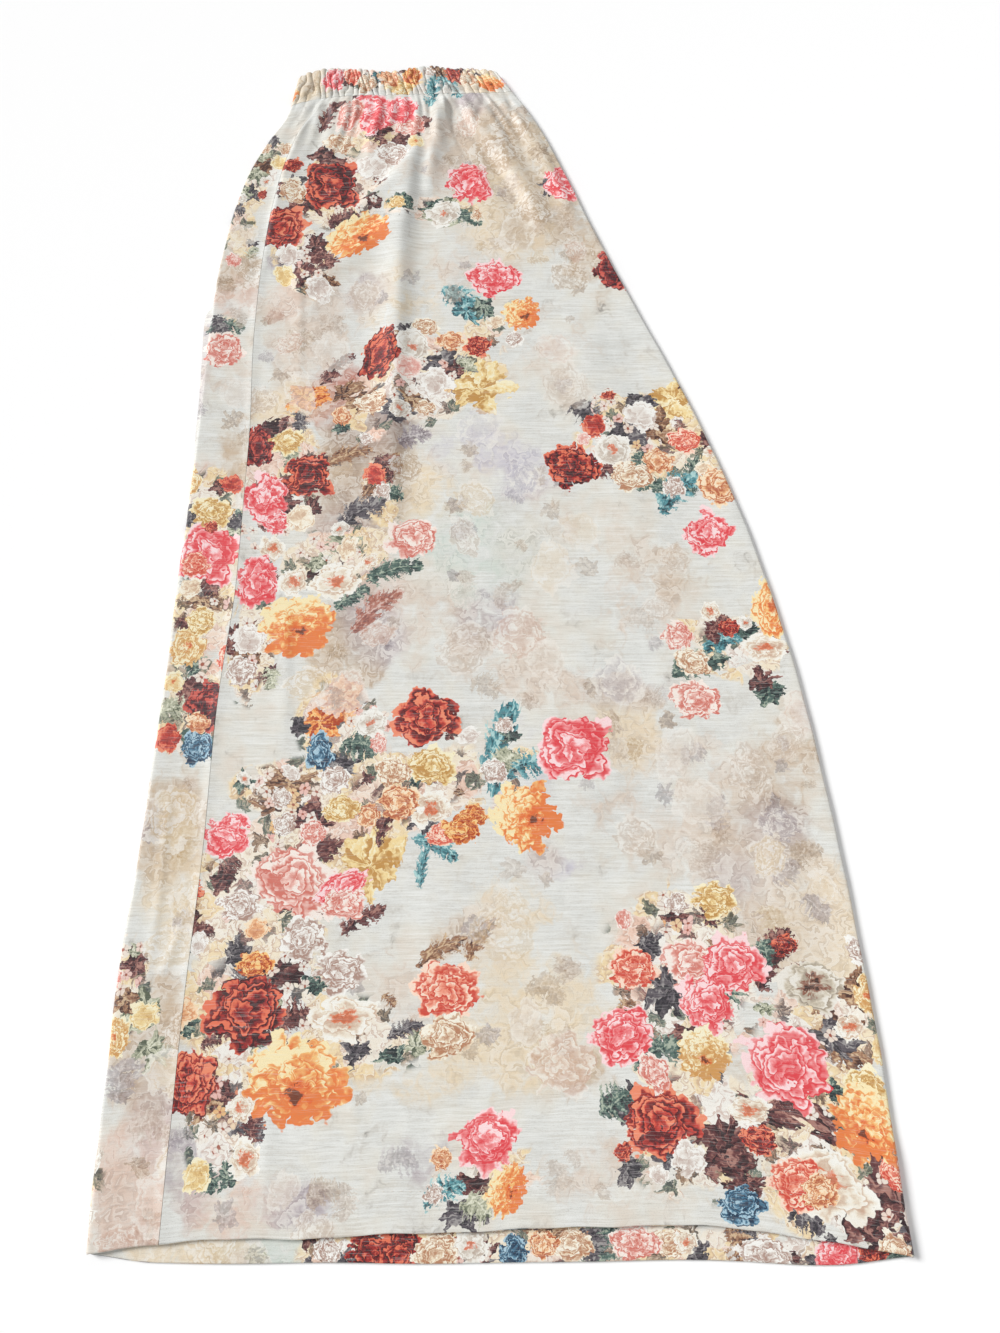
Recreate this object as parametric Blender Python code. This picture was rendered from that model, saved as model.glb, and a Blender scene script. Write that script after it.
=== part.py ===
"""A pull-on maxi skirt lying flat on its back panel.

Two flared panels are sewn into a tube, which lies with its left side seam turned a little onto the
front and its right side seam turned as far underneath. A gathered elastic waistband in two pieces
closes the top, and each panel's hem is turned up inside. The front hem lies higher than the back
one, so the back hem's turn-up shows below it.

X runs across the skirt, Y from hem to waist, Z up from the surface that it lies on. The origin is
below the middle of its box. "Down" is the distance from the waist seam towards the hem.
"""

import math

import bmesh
import bpy

MM = 0.001

# The cloth and how it lies, in metres.
WALL = 1.2 * MM  # a panel's cloth
BAND_WALL = 1.8 * MM  # the waistband's doubled cloth with the elastic inside it
TURNUP_WALL = 1.0 * MM  # the folded hem allowance
PARTING = 0.3 * MM  # between pieces, at a seam or face to face
AIR = 1.0 * MM  # between the two panels where they lie flattest
FOLD_RISE = 1.2 * MM  # how much higher the cloth lies where it rolls over a side
FOLD_ROLL = 18 * MM  # how far in from the side that rise reaches
WAIST_RISE = 1.2 * MM  # how much the gathers lift the cloth at the waist seam
WAIST_FADE = 60 * MM
SEAM_RIDGE = 0.5 * MM  # the side seam's allowances, pressed underneath
SEAM_HALF_WIDTH = 5 * MM
PANEL_LENGTH = 1036 * MM  # waist seam to hem, along the sides
TURNUP_DEPTH = 30 * MM  # the hem allowance
UNDER_SEAM_SHARE = 0.75  # the right side seam lies underneath, this much as far in as the left one on top
HEM_HEIGHT = 2 * WALL + 2 * TURNUP_WALL + 3 * PARTING
HEM_STEP_FROM = 950 * MM
HEM_STEP_TO = 984 * MM

# How far a layer's two faces lie inside the tube's outer face.
PANEL_DEPTHS = (0.0, WALL)
TURNUP_DEPTHS = (WALL + PARTING, WALL + PARTING + TURNUP_WALL)

# The tube's outline: where the left side, the left seam and the right side are at each distance down.
SECTIONS = (
    {"down": 0, "left": -211, "seam": -177, "right": 13},
    {"down": 20, "left": -216, "seam": -189, "right": 27},
    {"down": 50, "left": -231, "seam": -204, "right": 43},
    {"down": 100, "left": -249, "seam": -216, "right": 65},
    {"down": 180, "left": -264, "seam": -225, "right": 96},
    {"down": 280, "left": -270, "seam": -228, "right": 139},
    {"down": 400, "left": -271, "seam": -224, "right": 188},
    {"down": 520, "left": -274, "seam": -224, "right": 225},
    {"down": 640, "left": -277, "seam": -231, "right": 250},
    {"down": 760, "left": -282, "seam": -232, "right": 266},
    {"down": 880, "left": -288, "seam": -236, "right": 278},
    {"down": 1036, "left": -288, "seam": -237, "right": 287},
)

# How far the waist seam and the waistband's upper edge lie above the level where down is 0.
WAIST_LINE = (
    {"x": -211, "seam": -12, "top": 25},
    {"x": -190, "seam": -5, "top": 35},
    {"x": -160, "seam": 0, "top": 37},
    {"x": -104, "seam": 2, "top": 33},
    {"x": -72, "seam": 3, "top": 40},
    {"x": -31, "seam": 4, "top": 37},
    {"x": -4, "seam": 5, "top": 36},
    {"x": 13, "seam": 6, "top": 33},
)
WAIST_LINE_FADE = 90 * MM

# How far each hem lies above its corners, across the skirt.
HEM_LINE = (
    {"x": -288, "front": 0, "back": 0},
    {"x": -237, "front": 7, "back": -6},
    {"x": -141, "front": 10, "back": -6},
    {"x": 0, "front": 15, "back": -6},
    {"x": 106, "front": 18, "back": -4},
    {"x": 169, "front": 16, "back": -5},
    {"x": 232, "front": 7, "back": -7},
    {"x": 287, "front": -1, "back": -2},
)
HEM_LINE_FADE = 260 * MM

# The soft folds of the upper cloth, each on a straight line from x at the waist seam to x at its foot.
SOFT_FOLDS = (
    {"waist_x": -152, "foot_x": -192, "foot_down": 130, "height": 1.3, "half_width": 8},
    {"waist_x": -122, "foot_x": -134, "foot_down": 110, "height": 1.5, "half_width": 7},
    {"waist_x": -101, "foot_x": -152, "foot_down": 190, "height": 1.7, "half_width": 9},
    {"waist_x": -84, "foot_x": -96, "foot_down": 520, "height": 2.2, "half_width": 10},
    {"waist_x": -62, "foot_x": -44, "foot_down": 170, "height": 1.9, "half_width": 8},
    {"waist_x": -40, "foot_x": 6, "foot_down": 210, "height": 1.8, "half_width": 9},
    {"waist_x": -18, "foot_x": 40, "foot_down": 170, "height": 1.4, "half_width": 8},
    {"waist_x": 0, "foot_x": 62, "foot_down": 130, "height": 1.2, "half_width": 7},
    {"waist_x": -190, "foot_x": -242, "foot_down": 110, "height": 1.1, "half_width": 8},
)
FOLD_SPREAD = 0.9  # how much wider a soft fold is at its foot

# Where the left side's under layer slips out from below the roll: how far, at each distance down.
SLIPPED_LAYER = (
    {"down": 0, "out": 0},
    {"down": 245, "out": 0},
    {"down": 260, "out": 8},
    {"down": 330, "out": 5},
    {"down": 400, "out": 3},
    {"down": 440, "out": 0},
    {"down": 1036, "out": 0},
)

# The waistband.
BAND_TOP_LEFT = -206 * MM
BAND_TOP_RIGHT = -3 * MM
GATHERS = 31  # puckers across the front of the waistband, and as many across the back
GATHER_DEPTH = 1.1 * MM
UNDER_GATHER_DEPTH = 0.35 * MM
BAND_PUFF = 0.9 * MM
RUFFLE = 1.3 * MM  # how much the upper edge rises and falls with each pucker

# The grid that the walls are drawn on.
ROWS_DOWN = (0, 6, 14, 25, 40, 60, 85, 115, 155, 200, 245, 260, 300, 350, 410, 480, 560, 650, 740)
ROWS_DOWN += (830, 900, 950, 984, 1006, 1036)
BAND_ROWS = (0.0, 0.14, 0.5, 0.86, 1.0)
FRONT_COLUMNS = 52
STRIP_COLUMNS = 5
FOLD_STEPS = 4
UNDER_FRONT_COLUMNS = 5
UNDER_BACK_COLUMNS = 14
STEPS_PER_GATHER = 4
UNDER_STEPS_PER_GATHER = 2

COLOURS = {
    "front_panel": (0.80, 0.75, 0.68),
    "back_panel": (0.76, 0.71, 0.63),
    "waistband_front": (0.80, 0.66, 0.56),
    "waistband_back": (0.74, 0.68, 0.60),
    "front_hem_turnup": (0.78, 0.74, 0.68),
    "back_hem_turnup": (0.78, 0.66, 0.60),
}


def clear_scene():
    for obj in list(bpy.data.objects):
        bpy.data.objects.remove(obj)


def smoothstep(low, high, value):
    share = min(1.0, max(0.0, (value - low) / (high - low)))
    return share * share * (3.0 - 2.0 * share)


def bell(distance, half_width):
    return math.exp(-((distance / half_width) ** 2))


def read_table(table, key, column, at):
    """The smooth curve through a table's rows, which are in millimetres, read at one place in metres."""
    keys = [row[key] * MM for row in table]
    values = [row[column] * MM for row in table]
    at = min(max(at, keys[0]), keys[-1])
    k = max(i for i in range(len(keys) - 1) if keys[i] <= at)
    slopes = []
    for i in (k, k + 1):
        before = max(i - 1, 0)
        after = min(i + 1, len(keys) - 1)
        chords = (
            (values[i] - values[before]) / (keys[i] - keys[before]) if i > before else None,
            (values[after] - values[i]) / (keys[after] - keys[i]) if after > i else None,
        )
        known = [c for c in chords if c is not None]
        turns = len(known) == 2 and known[0] * known[1] <= 0
        slopes.append(0.0 if turns else sum(known) / len(known))
    span = keys[k + 1] - keys[k]
    t = (at - keys[k]) / span
    return (
        (1 + 2 * t) * (1 - t) ** 2 * values[k]
        + t * (1 - t) ** 2 * span * slopes[0]
        + t * t * (3 - 2 * t) * values[k + 1]
        + t * t * (t - 1) * span * slopes[1]
    )


class Section:
    """The flattened tube at one distance down from the waist seam."""

    def __init__(self, down):
        self.down = down
        self.left = read_table(SECTIONS, "down", "left", down)
        self.seam = read_table(SECTIONS, "down", "seam", down)
        self.right = read_table(SECTIONS, "down", "right", down)
        self.under_seam = self.right - UNDER_SEAM_SHARE * (self.seam - self.left)
        self.slip = read_table(SLIPPED_LAYER, "down", "out", down)
        self.left_radius = self.height(self.left) / 2
        self.right_radius = self.height(self.right) / 2

    def height(self, x):
        """The upper cloth's outer face above the surface that the skirt lies on."""
        down = self.down
        to_side = min(x - self.left, self.right - x)
        height = 2 * WALL + AIR
        height += (HEM_HEIGHT - 2 * WALL - AIR) * smoothstep(HEM_STEP_FROM, HEM_STEP_TO, down)
        height += WAIST_RISE * math.exp(-down / WAIST_FADE)
        height += FOLD_RISE * bell(to_side, FOLD_ROLL)
        height += SEAM_RIDGE * bell(x - self.seam, SEAM_HALF_WIDTH)
        inside = smoothstep(0, FOLD_ROLL, to_side)
        for fold in SOFT_FOLDS:
            share = down / (fold["foot_down"] * MM)
            if share < 1:
                line = (fold["waist_x"] + (fold["foot_x"] - fold["waist_x"]) * share) * MM
                half_width = fold["half_width"] * MM * (1 + FOLD_SPREAD * share)
                fading = 1 - smoothstep(0.25, 1, share)
                height += inside * fading * fold["height"] * MM * bell(x - line, half_width)
        return height

    def y(self, x, over):
        """Where the cloth at x lies. Over is 1 on the upper cloth, 0 on the cloth below."""
        waist = read_table(WAIST_LINE, "x", "seam", x) * math.exp(-self.down / WAIST_LINE_FADE)
        front = read_table(HEM_LINE, "x", "front", x)
        back = read_table(HEM_LINE, "x", "back", x)
        fade = smoothstep(PANEL_LENGTH - HEM_LINE_FADE, PANEL_LENGTH, self.down)
        return -self.down - PARTING / 2 + waist + fade * (over * front + (1 - over) * back)

    def upper(self, x, depths):
        """The outer and the inner point at x of a layer of the upper cloth."""
        y = self.y(x, 1)
        z = self.height(x)
        return [(x, y, z - depth) for depth in depths]

    def lower(self, x, depths):
        """The outer and the inner point at x of a layer of the cloth below."""
        y = self.y(x, 0)
        return [(x, y, depth) for depth in depths]

    def roll(self, side, share, depths):
        """The same two points on the roll at a side. Share runs from 0, on top, to 1, below."""
        angle = math.pi * (0.5 - share)
        radius = self.left_radius if side < 0 else self.right_radius
        edge = self.left if side < 0 else self.right
        slip = self.slip * smoothstep(0.4, 0.9, share) if side < 0 else 0.0
        middle = edge - side * radius - slip
        y = self.y(edge, 1 - share)
        points = []
        for depth in depths:
            x = middle + side * (radius - depth) * math.cos(angle)
            points.append((x, y, radius + (radius - depth) * math.sin(angle)))
        return points


def spread(start, end, steps):
    return [start + (end - start) * i / steps for i in range(steps + 1)]


def sheet_mesh(name, grid):
    """A closed wall from a grid of rows, each a list of (outer point, inner point) along the cloth."""
    mesh = bpy.data.meshes.new(name)
    bm = bmesh.new()
    layers = []
    for face in (0, 1):
        layers.append([[bm.verts.new(pair[face]) for pair in row] for row in grid])
    outer, inner = layers
    last_row = len(grid) - 1
    last_column = len(grid[0]) - 1
    for layer in layers:
        for i in range(last_row):
            for j in range(last_column):
                bm.faces.new((layer[i][j], layer[i][j + 1], layer[i + 1][j + 1], layer[i + 1][j]))
    rim = [(0, j) for j in range(last_column)]
    rim += [(i, last_column) for i in range(last_row)]
    rim += [(last_row, j) for j in range(last_column, 0, -1)]
    rim += [(i, 0) for i in range(last_row, 0, -1)]
    for here, after in zip(rim, rim[1:] + rim[:1]):
        a, b = here
        c, d = after
        bm.faces.new((outer[a][b], outer[c][d], inner[c][d], inner[a][b]))
    bmesh.ops.recalc_face_normals(bm, faces=bm.faces)
    bm.to_mesh(mesh)
    bm.free()
    mesh.shade_smooth()
    mesh.set_sharp_from_angle(angle=math.radians(50))
    return mesh


def add_piece(name, grid):
    obj = bpy.data.objects.new(name, sheet_mesh(name, grid))
    bpy.context.scene.collection.objects.link(obj)
    material = bpy.data.materials.new(name)
    material.use_nodes = True
    shader = material.node_tree.nodes["Principled BSDF"]
    shader.inputs["Base Color"].default_value = (*COLOURS[name], 1.0)
    shader.inputs["Roughness"].default_value = 0.45
    shader.inputs["Metallic"].default_value = 0.0
    obj.data.materials.append(material)
    return obj


def front_row(section, depths):
    """From the left side seam over the front and round the right side to the seam underneath."""
    start = section.seam + PARTING / 2
    turn = section.right - section.right_radius
    end = section.under_seam + PARTING / 2
    row = [section.upper(x, depths) for x in spread(start, turn, FRONT_COLUMNS)]
    row += [section.roll(1, share, depths) for share in spread(0, 1, FOLD_STEPS)[1:-1]]
    row += [section.lower(x, depths) for x in spread(turn, end, UNDER_FRONT_COLUMNS)]
    return row


def back_row(section, depths):
    """From the right side seam, under the skirt and round the left side to the seam on top."""
    start = section.under_seam - PARTING / 2
    turn = section.left + section.left_radius
    end = section.seam - PARTING / 2
    row = [section.lower(x, depths) for x in spread(start, turn - section.slip, UNDER_BACK_COLUMNS)]
    row += [section.roll(-1, share, depths) for share in spread(1, 0, FOLD_STEPS)[1:-1]]
    row += [section.upper(x, depths) for x in spread(turn, end, STRIP_COLUMNS)]
    return row


def make_panels():
    sections = [Section(down * MM) for down in ROWS_DOWN]
    return [
        add_piece("front_panel", [front_row(section, PANEL_DEPTHS) for section in sections]),
        add_piece("back_panel", [back_row(section, PANEL_DEPTHS) for section in sections]),
    ]


def make_turnups():
    """The hem allowances, folded up against the inner face of each panel."""
    sections = [Section(down) for down in (PANEL_LENGTH - TURNUP_DEPTH, PANEL_LENGTH)]
    return [
        add_piece("front_hem_turnup", [front_row(section, TURNUP_DEPTHS) for section in sections]),
        add_piece("back_hem_turnup", [back_row(section, TURNUP_DEPTHS) for section in sections]),
    ]


class BandSection:
    """The flattened waistband at a share of its height, 0 at the waist seam and 1 at the upper edge."""

    def __init__(self, share):
        waist = Section(0.0)
        self.share = share
        self.left = waist.left + (BAND_TOP_LEFT - waist.left) * share
        self.right = waist.right + (BAND_TOP_RIGHT - waist.right) * share
        self.seam_across = (waist.seam - waist.left) / (waist.right - waist.left)
        self.waist = waist
        self.radius = BAND_WALL + AIR / 2 + FOLD_RISE / 2 + self.puff() / 2

    def puff(self):
        return BAND_PUFF * math.sin(math.pi * self.share)

    def x(self, across):
        return self.left + (self.right - self.left) * across

    def pucker(self, across):
        """The gathers, from -1 to 1, unevenly spaced and of uneven depth."""
        drift = 0.30 * math.sin(2 * math.pi * 3 * across + 1) + 0.16 * math.sin(2 * math.pi * 7 * across)
        depth = 0.78 + 0.22 * math.sin(2 * math.pi * 5 * across + 2)
        return depth * math.cos(2 * math.pi * (GATHERS * across + drift))

    def y(self, across, over):
        base_x = self.waist.left + (self.waist.right - self.waist.left) * across
        low = self.waist.y(base_x, over) + PARTING
        high = read_table(WAIST_LINE, "x", "top", base_x) + over * RUFFLE * self.pucker(across)
        return low + (high - low) * self.share

    def upper(self, across):
        x = self.x(across)
        to_side = min(x - self.left, self.right - x)
        inside = smoothstep(0, FOLD_ROLL / 2, to_side)
        height = 2 * self.radius + inside * (GATHER_DEPTH * self.pucker(across) - FOLD_RISE / 2)
        y = self.y(across, 1)
        return (x, y, height), (x, y, height - BAND_WALL)

    def lower(self, across):
        x = self.x(across)
        y = self.y(across, 0)
        to_side = min(x - self.left, self.right - x)
        inside = smoothstep(0, FOLD_ROLL / 2, to_side)
        inner = BAND_WALL + inside * UNDER_GATHER_DEPTH * (self.pucker(across) - 1)
        return (x, y, 0.0), (x, y, inner)

    def roll(self, side, share):
        angle = math.pi * (0.5 - share)
        across = 0.0 if side < 0 else 1.0
        middle = self.x(across) - side * self.radius
        y = self.y(across, 1 - share)
        points = []
        for distance in (self.radius, self.radius - BAND_WALL):
            x = middle + side * distance * math.cos(angle)
            points.append((x, y, self.radius + distance * math.sin(angle)))
        return points

    def turn(self):
        """The share of the width that a rolled side takes."""
        return self.radius / (self.right - self.left)


def band_front_row(band):
    """From the left side seam over the front and round the right side to the seam underneath."""
    gap = PARTING / 2 / (band.right - band.left)
    turn = 1 - band.turn()
    long_steps = round(GATHERS * (1 - band.seam_across) * STEPS_PER_GATHER)
    short_steps = round(GATHERS * band.seam_across * UNDER_STEPS_PER_GATHER)
    row = [band.upper(a) for a in spread(band.seam_across + gap, turn, long_steps)]
    row += [band.roll(1, share) for share in spread(0, 1, FOLD_STEPS)[1:-1]]
    row += [band.lower(a) for a in spread(turn, 1 - band.seam_across + gap, short_steps)]
    return row


def band_back_row(band):
    """From the right side seam, under the skirt and round the left side to the seam on top."""
    gap = PARTING / 2 / (band.right - band.left)
    turn = band.turn()
    long_steps = round(GATHERS * (1 - band.seam_across) * UNDER_STEPS_PER_GATHER)
    short_steps = round(GATHERS * band.seam_across * STEPS_PER_GATHER)
    row = [band.lower(a) for a in spread(1 - band.seam_across - gap, turn, long_steps)]
    row += [band.roll(-1, share) for share in spread(1, 0, FOLD_STEPS)[1:-1]]
    row += [band.upper(a) for a in spread(turn, band.seam_across - gap, short_steps)]
    return row


def make_waistband():
    bands = [BandSection(share) for share in BAND_ROWS]
    return [
        add_piece("waistband_front", [band_front_row(band) for band in bands]),
        add_piece("waistband_back", [band_back_row(band) for band in bands]),
    ]


def stand_over_origin(pieces):
    """Moves the whole skirt so that the origin is below the middle of its box."""
    points = [vertex.co for piece in pieces for vertex in piece.data.vertices]
    for axis in (0, 1):
        values = [point[axis] for point in points]
        middle = (min(values) + max(values)) / 2
        for point in points:
            point[axis] -= middle


def main():
    clear_scene()
    pieces = make_panels() + make_turnups() + make_waistband()
    stand_over_origin(pieces)


main()
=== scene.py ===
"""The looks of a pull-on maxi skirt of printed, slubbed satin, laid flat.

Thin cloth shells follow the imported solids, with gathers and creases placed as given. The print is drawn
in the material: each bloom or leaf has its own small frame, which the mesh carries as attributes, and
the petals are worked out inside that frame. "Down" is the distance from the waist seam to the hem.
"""

import math
import random

import bmesh
import bpy
import numpy as np
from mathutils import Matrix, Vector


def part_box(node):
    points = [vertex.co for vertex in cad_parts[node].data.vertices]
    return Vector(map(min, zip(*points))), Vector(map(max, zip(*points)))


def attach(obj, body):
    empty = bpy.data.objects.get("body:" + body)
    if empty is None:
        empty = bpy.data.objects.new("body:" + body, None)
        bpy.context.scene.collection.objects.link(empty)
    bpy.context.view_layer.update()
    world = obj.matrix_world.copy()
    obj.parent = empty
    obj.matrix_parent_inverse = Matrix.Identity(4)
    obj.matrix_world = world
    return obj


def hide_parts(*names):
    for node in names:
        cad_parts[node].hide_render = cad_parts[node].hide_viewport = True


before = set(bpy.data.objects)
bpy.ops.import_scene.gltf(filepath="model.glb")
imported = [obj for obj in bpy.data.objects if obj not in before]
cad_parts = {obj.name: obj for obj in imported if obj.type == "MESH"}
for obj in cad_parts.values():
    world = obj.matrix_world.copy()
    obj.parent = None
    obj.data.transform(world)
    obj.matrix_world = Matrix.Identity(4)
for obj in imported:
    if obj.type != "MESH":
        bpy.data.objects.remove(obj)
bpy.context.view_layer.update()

MM = 0.001
TAU = 2 * math.pi

# ---------------------------------------------------------------- how the skirt lies, in millimetres

CLOTH = 0.4  # the thickness of the satin
PARTING = 0.3  # between pieces at a seam
AIR_HEIGHT = 3.4  # the upper cloth's face where the skirt lies flattest
HEM_HEIGHT = 5.3  # the same at the hem, over the turn-ups
HEM_STEP = (950, 984)  # how far down the cloth rises over the turn-ups
FOLD_RISE = 1.2  # of the sides, where the cloth rolls over
FOLD_ROLL = 18  # how far in from a side that goes
WAIST_RISE = 1.2
WAIST_FADE = 60
SEAM_RIDGE = 0.7
SEAM_HALF_WIDTH = 4
LENGTH = 1036
TURNUP = 30
UNDER_SEAM_SHARE = 0.75  # how far in the hidden seam lies, as a share of the one that shows
WAIST_LINE_FADE = 90
HEM_LINE_FADE = 260
DEEPEST_TROUGH = -1.3
BAND_WALL = 1.8
BAND_TOP = (-206, -3)  # x of the band's upper corners
BAND_PUFF = 0.9
BAND_RADIUS = BAND_WALL + 0.5 + FOLD_RISE / 2  # of its rolled sides, at the waist seam
BAND_RELIEF = 3.0  # from the valleys of its gathers to their ridges
SEAM_RELIEF = 0.45 * BAND_RELIEF
SEAM_FADE = (-1, 12)  # how far down the panel goes from the band's height to its own
GATHERS = 31


def read_word(word):
    return float(word) if word.lstrip("-").replace(".", "").isdigit() else word


def rows(columns, text):
    """A table written as text: a list of dicts. The last columns that a row leaves out are 0."""
    names = columns.split()
    words = (line.split() for line in text.strip().splitlines())
    return [dict(zip(names, map(read_word, row + ["0"] * (len(names) - len(row))))) for row in words]


SECTIONS = rows("down left seam right", """
       0  -211  -177    13
      20  -216  -189    27
      50  -231  -204    43
     100  -249  -216    65
     180  -264  -225    96
     280  -270  -228   139
     400  -271  -224   188
     520  -274  -224   225
     640  -277  -231   250
     760  -282  -232   266
     880  -288  -236   278
    1036  -288  -237   287
""")

WAIST_LINE = rows("x seam top", """
    -211  -12  25
    -190   -5  35
    -160    0  37
    -104    2  33
     -72    3  40
     -31    4  37
      -4    5  36
      13    6  33
""")

HEM_LINE = rows("x front back", """
    -288    0    0
    -237    7   -6
    -141   10   -6
       0   15   -6
     106   18   -4
     169   16   -5
     232    7   -7
     287   -1   -2
""")

SLIPPED_LAYER = rows("down out", """
       0   0
     245   0
     260   8
     330   5
     400   3
     440   0
    1036   0
""")

SOFT_FOLDS = rows("waist_x foot_x foot_down height half_width", """
    -152  -192  130  1.3   8
    -122  -134  110  1.5   7
    -101  -152  190  1.7   9
     -84   -96  520  2.2  10
     -62   -44  170  1.9   8
     -40     6  210  1.8   9
     -18    40  170  1.4   8
       0    62  130  1.2   7
    -190  -242  110  1.1   8
""")
FOLD_SPREAD = 0.9


def read_creases(text):
    """Each line: a crease's height, over how many millimetres it falls away to its left and to its right,
    seen looking towards the hem, and then the points of x and down along it."""
    for line in text.strip().splitlines():
        height, left, right, *path = map(float, line.split())
        yield {"height": height, "left": left, "right": right, "path": np.array(path).reshape(-1, 2)}


# Pressed and accidental creases of the upper cloth.
CREASES = tuple(read_creases("""
4.2 18 9  -82 30  -90 114  -97 170  -97 276  -95 362  -96 520
-1.2 9 22  -76 110  -77 215  -75 330
5.4 7 9  -48 -25  -62 32  -68 90  -70 140
-3 9 10  -60 -10  -35 58  0 108  35 170
4.4 9 13  -46 -15  -10 52  29 126  55 200
-1.8 3 3.5  7 -6  11 20  14 50
-1.8 3 4.5  -13 -6  -20 20  -27 50
2.6 3 13  -165 -20  -199 45  -210 86  -218 138  -226 230
3 5 11  -182 4  -146 32  -95 70
2.6 9 14  -90 145  -162 209  -222 255
0.9 9 2.5  -190 186  -185 271  -181 351
0.7 8 2.5  -180 547  -175 618  -172 685
0.9 3 9  -170 940  -168 990  -168 1020
3.6 5 14  -72 55  -108 108  -158 158
0.9 4 7  -152 226  -174 249  -192 268
0.8 7 3  -116 912  -108 940  -98 975
3.8 11 6  20 5  50 89  85 180
2 5 7  -118 12  -128 52  -131 88
1.1 6 6  -146 10  -163 48  -176 92
0.7 26 18  60 250  105 380  130 520
0.9 22 14  190 560  215 700  236 860
0.5 30 22  40 420  60 600  70 800
0.5 24 24  -60 560  -50 720  -45 900
0.7 5 3  -262 700  -262 800  -266 880
0.9 3 4  -243 812  -250 838  -259 860
-0.5 14 14  170 880  205 912  232 950
0.6 12 8  120 900  150 935  200 945
"""))

# The cloth below rests flat, so its creases are shallow troughs.
UNDER_CREASES = tuple(read_creases("""
0.7 9 4  -60 6  -48 160  -30 420
0.6 5 8  -120 4  -150 130  -172 300
0.6 7 5  -15 4  30 120  85 290
0.5 16 10  60 520  90 690  100 860
0.5 12 7  -150 700  -140 850  -132 990
0.5 8 12  190 640  205 800  214 930
"""))


def smooth(low, high, value):
    share = np.clip((value - low) / (high - low), 0, 1)
    return share * share * (3 - 2 * share)


def bell(distance, half_width):
    return np.exp(-((distance / half_width) ** 2))


def read(table, key, column, at):
    """The smooth curve through a table's rows, read at an array of places."""
    keys = np.array([row[key] for row in table])
    values = np.array([row[column] for row in table])
    chords = np.diff(values) / np.diff(keys)
    slopes = np.concatenate((chords[:1], (chords[:-1] + chords[1:]) / 2, chords[-1:]))
    slopes[1:-1][chords[:-1] * chords[1:] <= 0] = 0
    at = np.clip(at, keys[0], keys[-1])
    k = np.clip(np.searchsorted(keys, at, side="right") - 1, 0, len(keys) - 2)
    span = keys[k + 1] - keys[k]
    t = (at - keys[k]) / span
    return (
        (1 + 2 * t) * (1 - t) ** 2 * values[k]
        + t * (1 - t) ** 2 * span * slopes[k]
        + t * t * (3 - 2 * t) * values[k + 1]
        + t * t * (t - 1) * span * slopes[k + 1]
    )


def crease_height(creases, x, down):
    """The creases' heights added up."""
    total = np.zeros(np.broadcast(x, down).shape)
    for crease in creases:
        path = crease["path"]
        lengths = np.hypot(*np.diff(path, axis=0).T)
        before = np.concatenate(([0], np.cumsum(lengths)))
        nearest = np.full(total.shape, 1e9)
        side = np.zeros(total.shape)
        along = np.zeros(total.shape)
        for k, length in enumerate(lengths):
            step_x, step_down = (path[k + 1] - path[k]) / length
            out_x, out_down = x - path[k, 0], down - path[k, 1]
            t = np.clip(out_x * step_x + out_down * step_down, 0, length)
            distance = np.hypot(out_x - t * step_x, out_down - t * step_down)
            closer = distance < nearest
            nearest = np.where(closer, distance, nearest)
            side = np.where(closer, step_down * out_x - step_x * out_down, side)
            along = np.where(closer, before[k] + t, along)
        share = along / before[-1]
        fade = smooth(0, 0.22, share + 0.02) * smooth(0, 0.35, 1 - share)
        width = np.where(side < 0, crease["left"], crease["right"])
        total += crease["height"] * fade * bell(nearest, width)
    return total


def gather_phase(across):
    drift = 0.30 * np.sin(TAU * 3 * across + 1) + 0.16 * np.sin(TAU * 7 * across)
    return GATHERS * across + drift


def gather_ridge(across, wander=0.0):
    """The gathers from 0 in the valleys, which are sharp, to 1 on the ridges, which are round."""
    depth = 0.74 + 0.26 * np.sin(TAU * 5 * across + 2) * np.cos(TAU * 11 * across)
    return depth * np.abs(np.cos(math.pi * (gather_phase(across) + wander))) ** 0.7


def gather_wander(across, share=0.0):
    """How the band's gathers drift, from share 0 at the waist seam to 1 at the band's upper edge."""
    return 0.30 * np.sin(TAU * (0.7 * share + 5 * across)) + 0.16 * np.sin(TAU * (1.6 * share + 13 * across))


def across_tube(tube, x):
    """How far across a tube from 0 at its left side to 1 at its right one."""
    return (x - tube.left) / (tube.right - tube.left)


def inside_tube(tube, x, margin=FOLD_ROLL):
    """0 at a tube's sides and 1 from this margin inwards."""
    return smooth(0, margin, np.minimum(x - tube.left, tube.right - x))


def half_round(side, middle, radius, shares, depth):
    """A rounded side's x and z. Shares run from 0, on top, to 1, below."""
    angle = math.pi * (0.5 - shares)
    return middle + side * (radius - depth) * np.cos(angle), radius + (radius - depth) * np.sin(angle)


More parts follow.
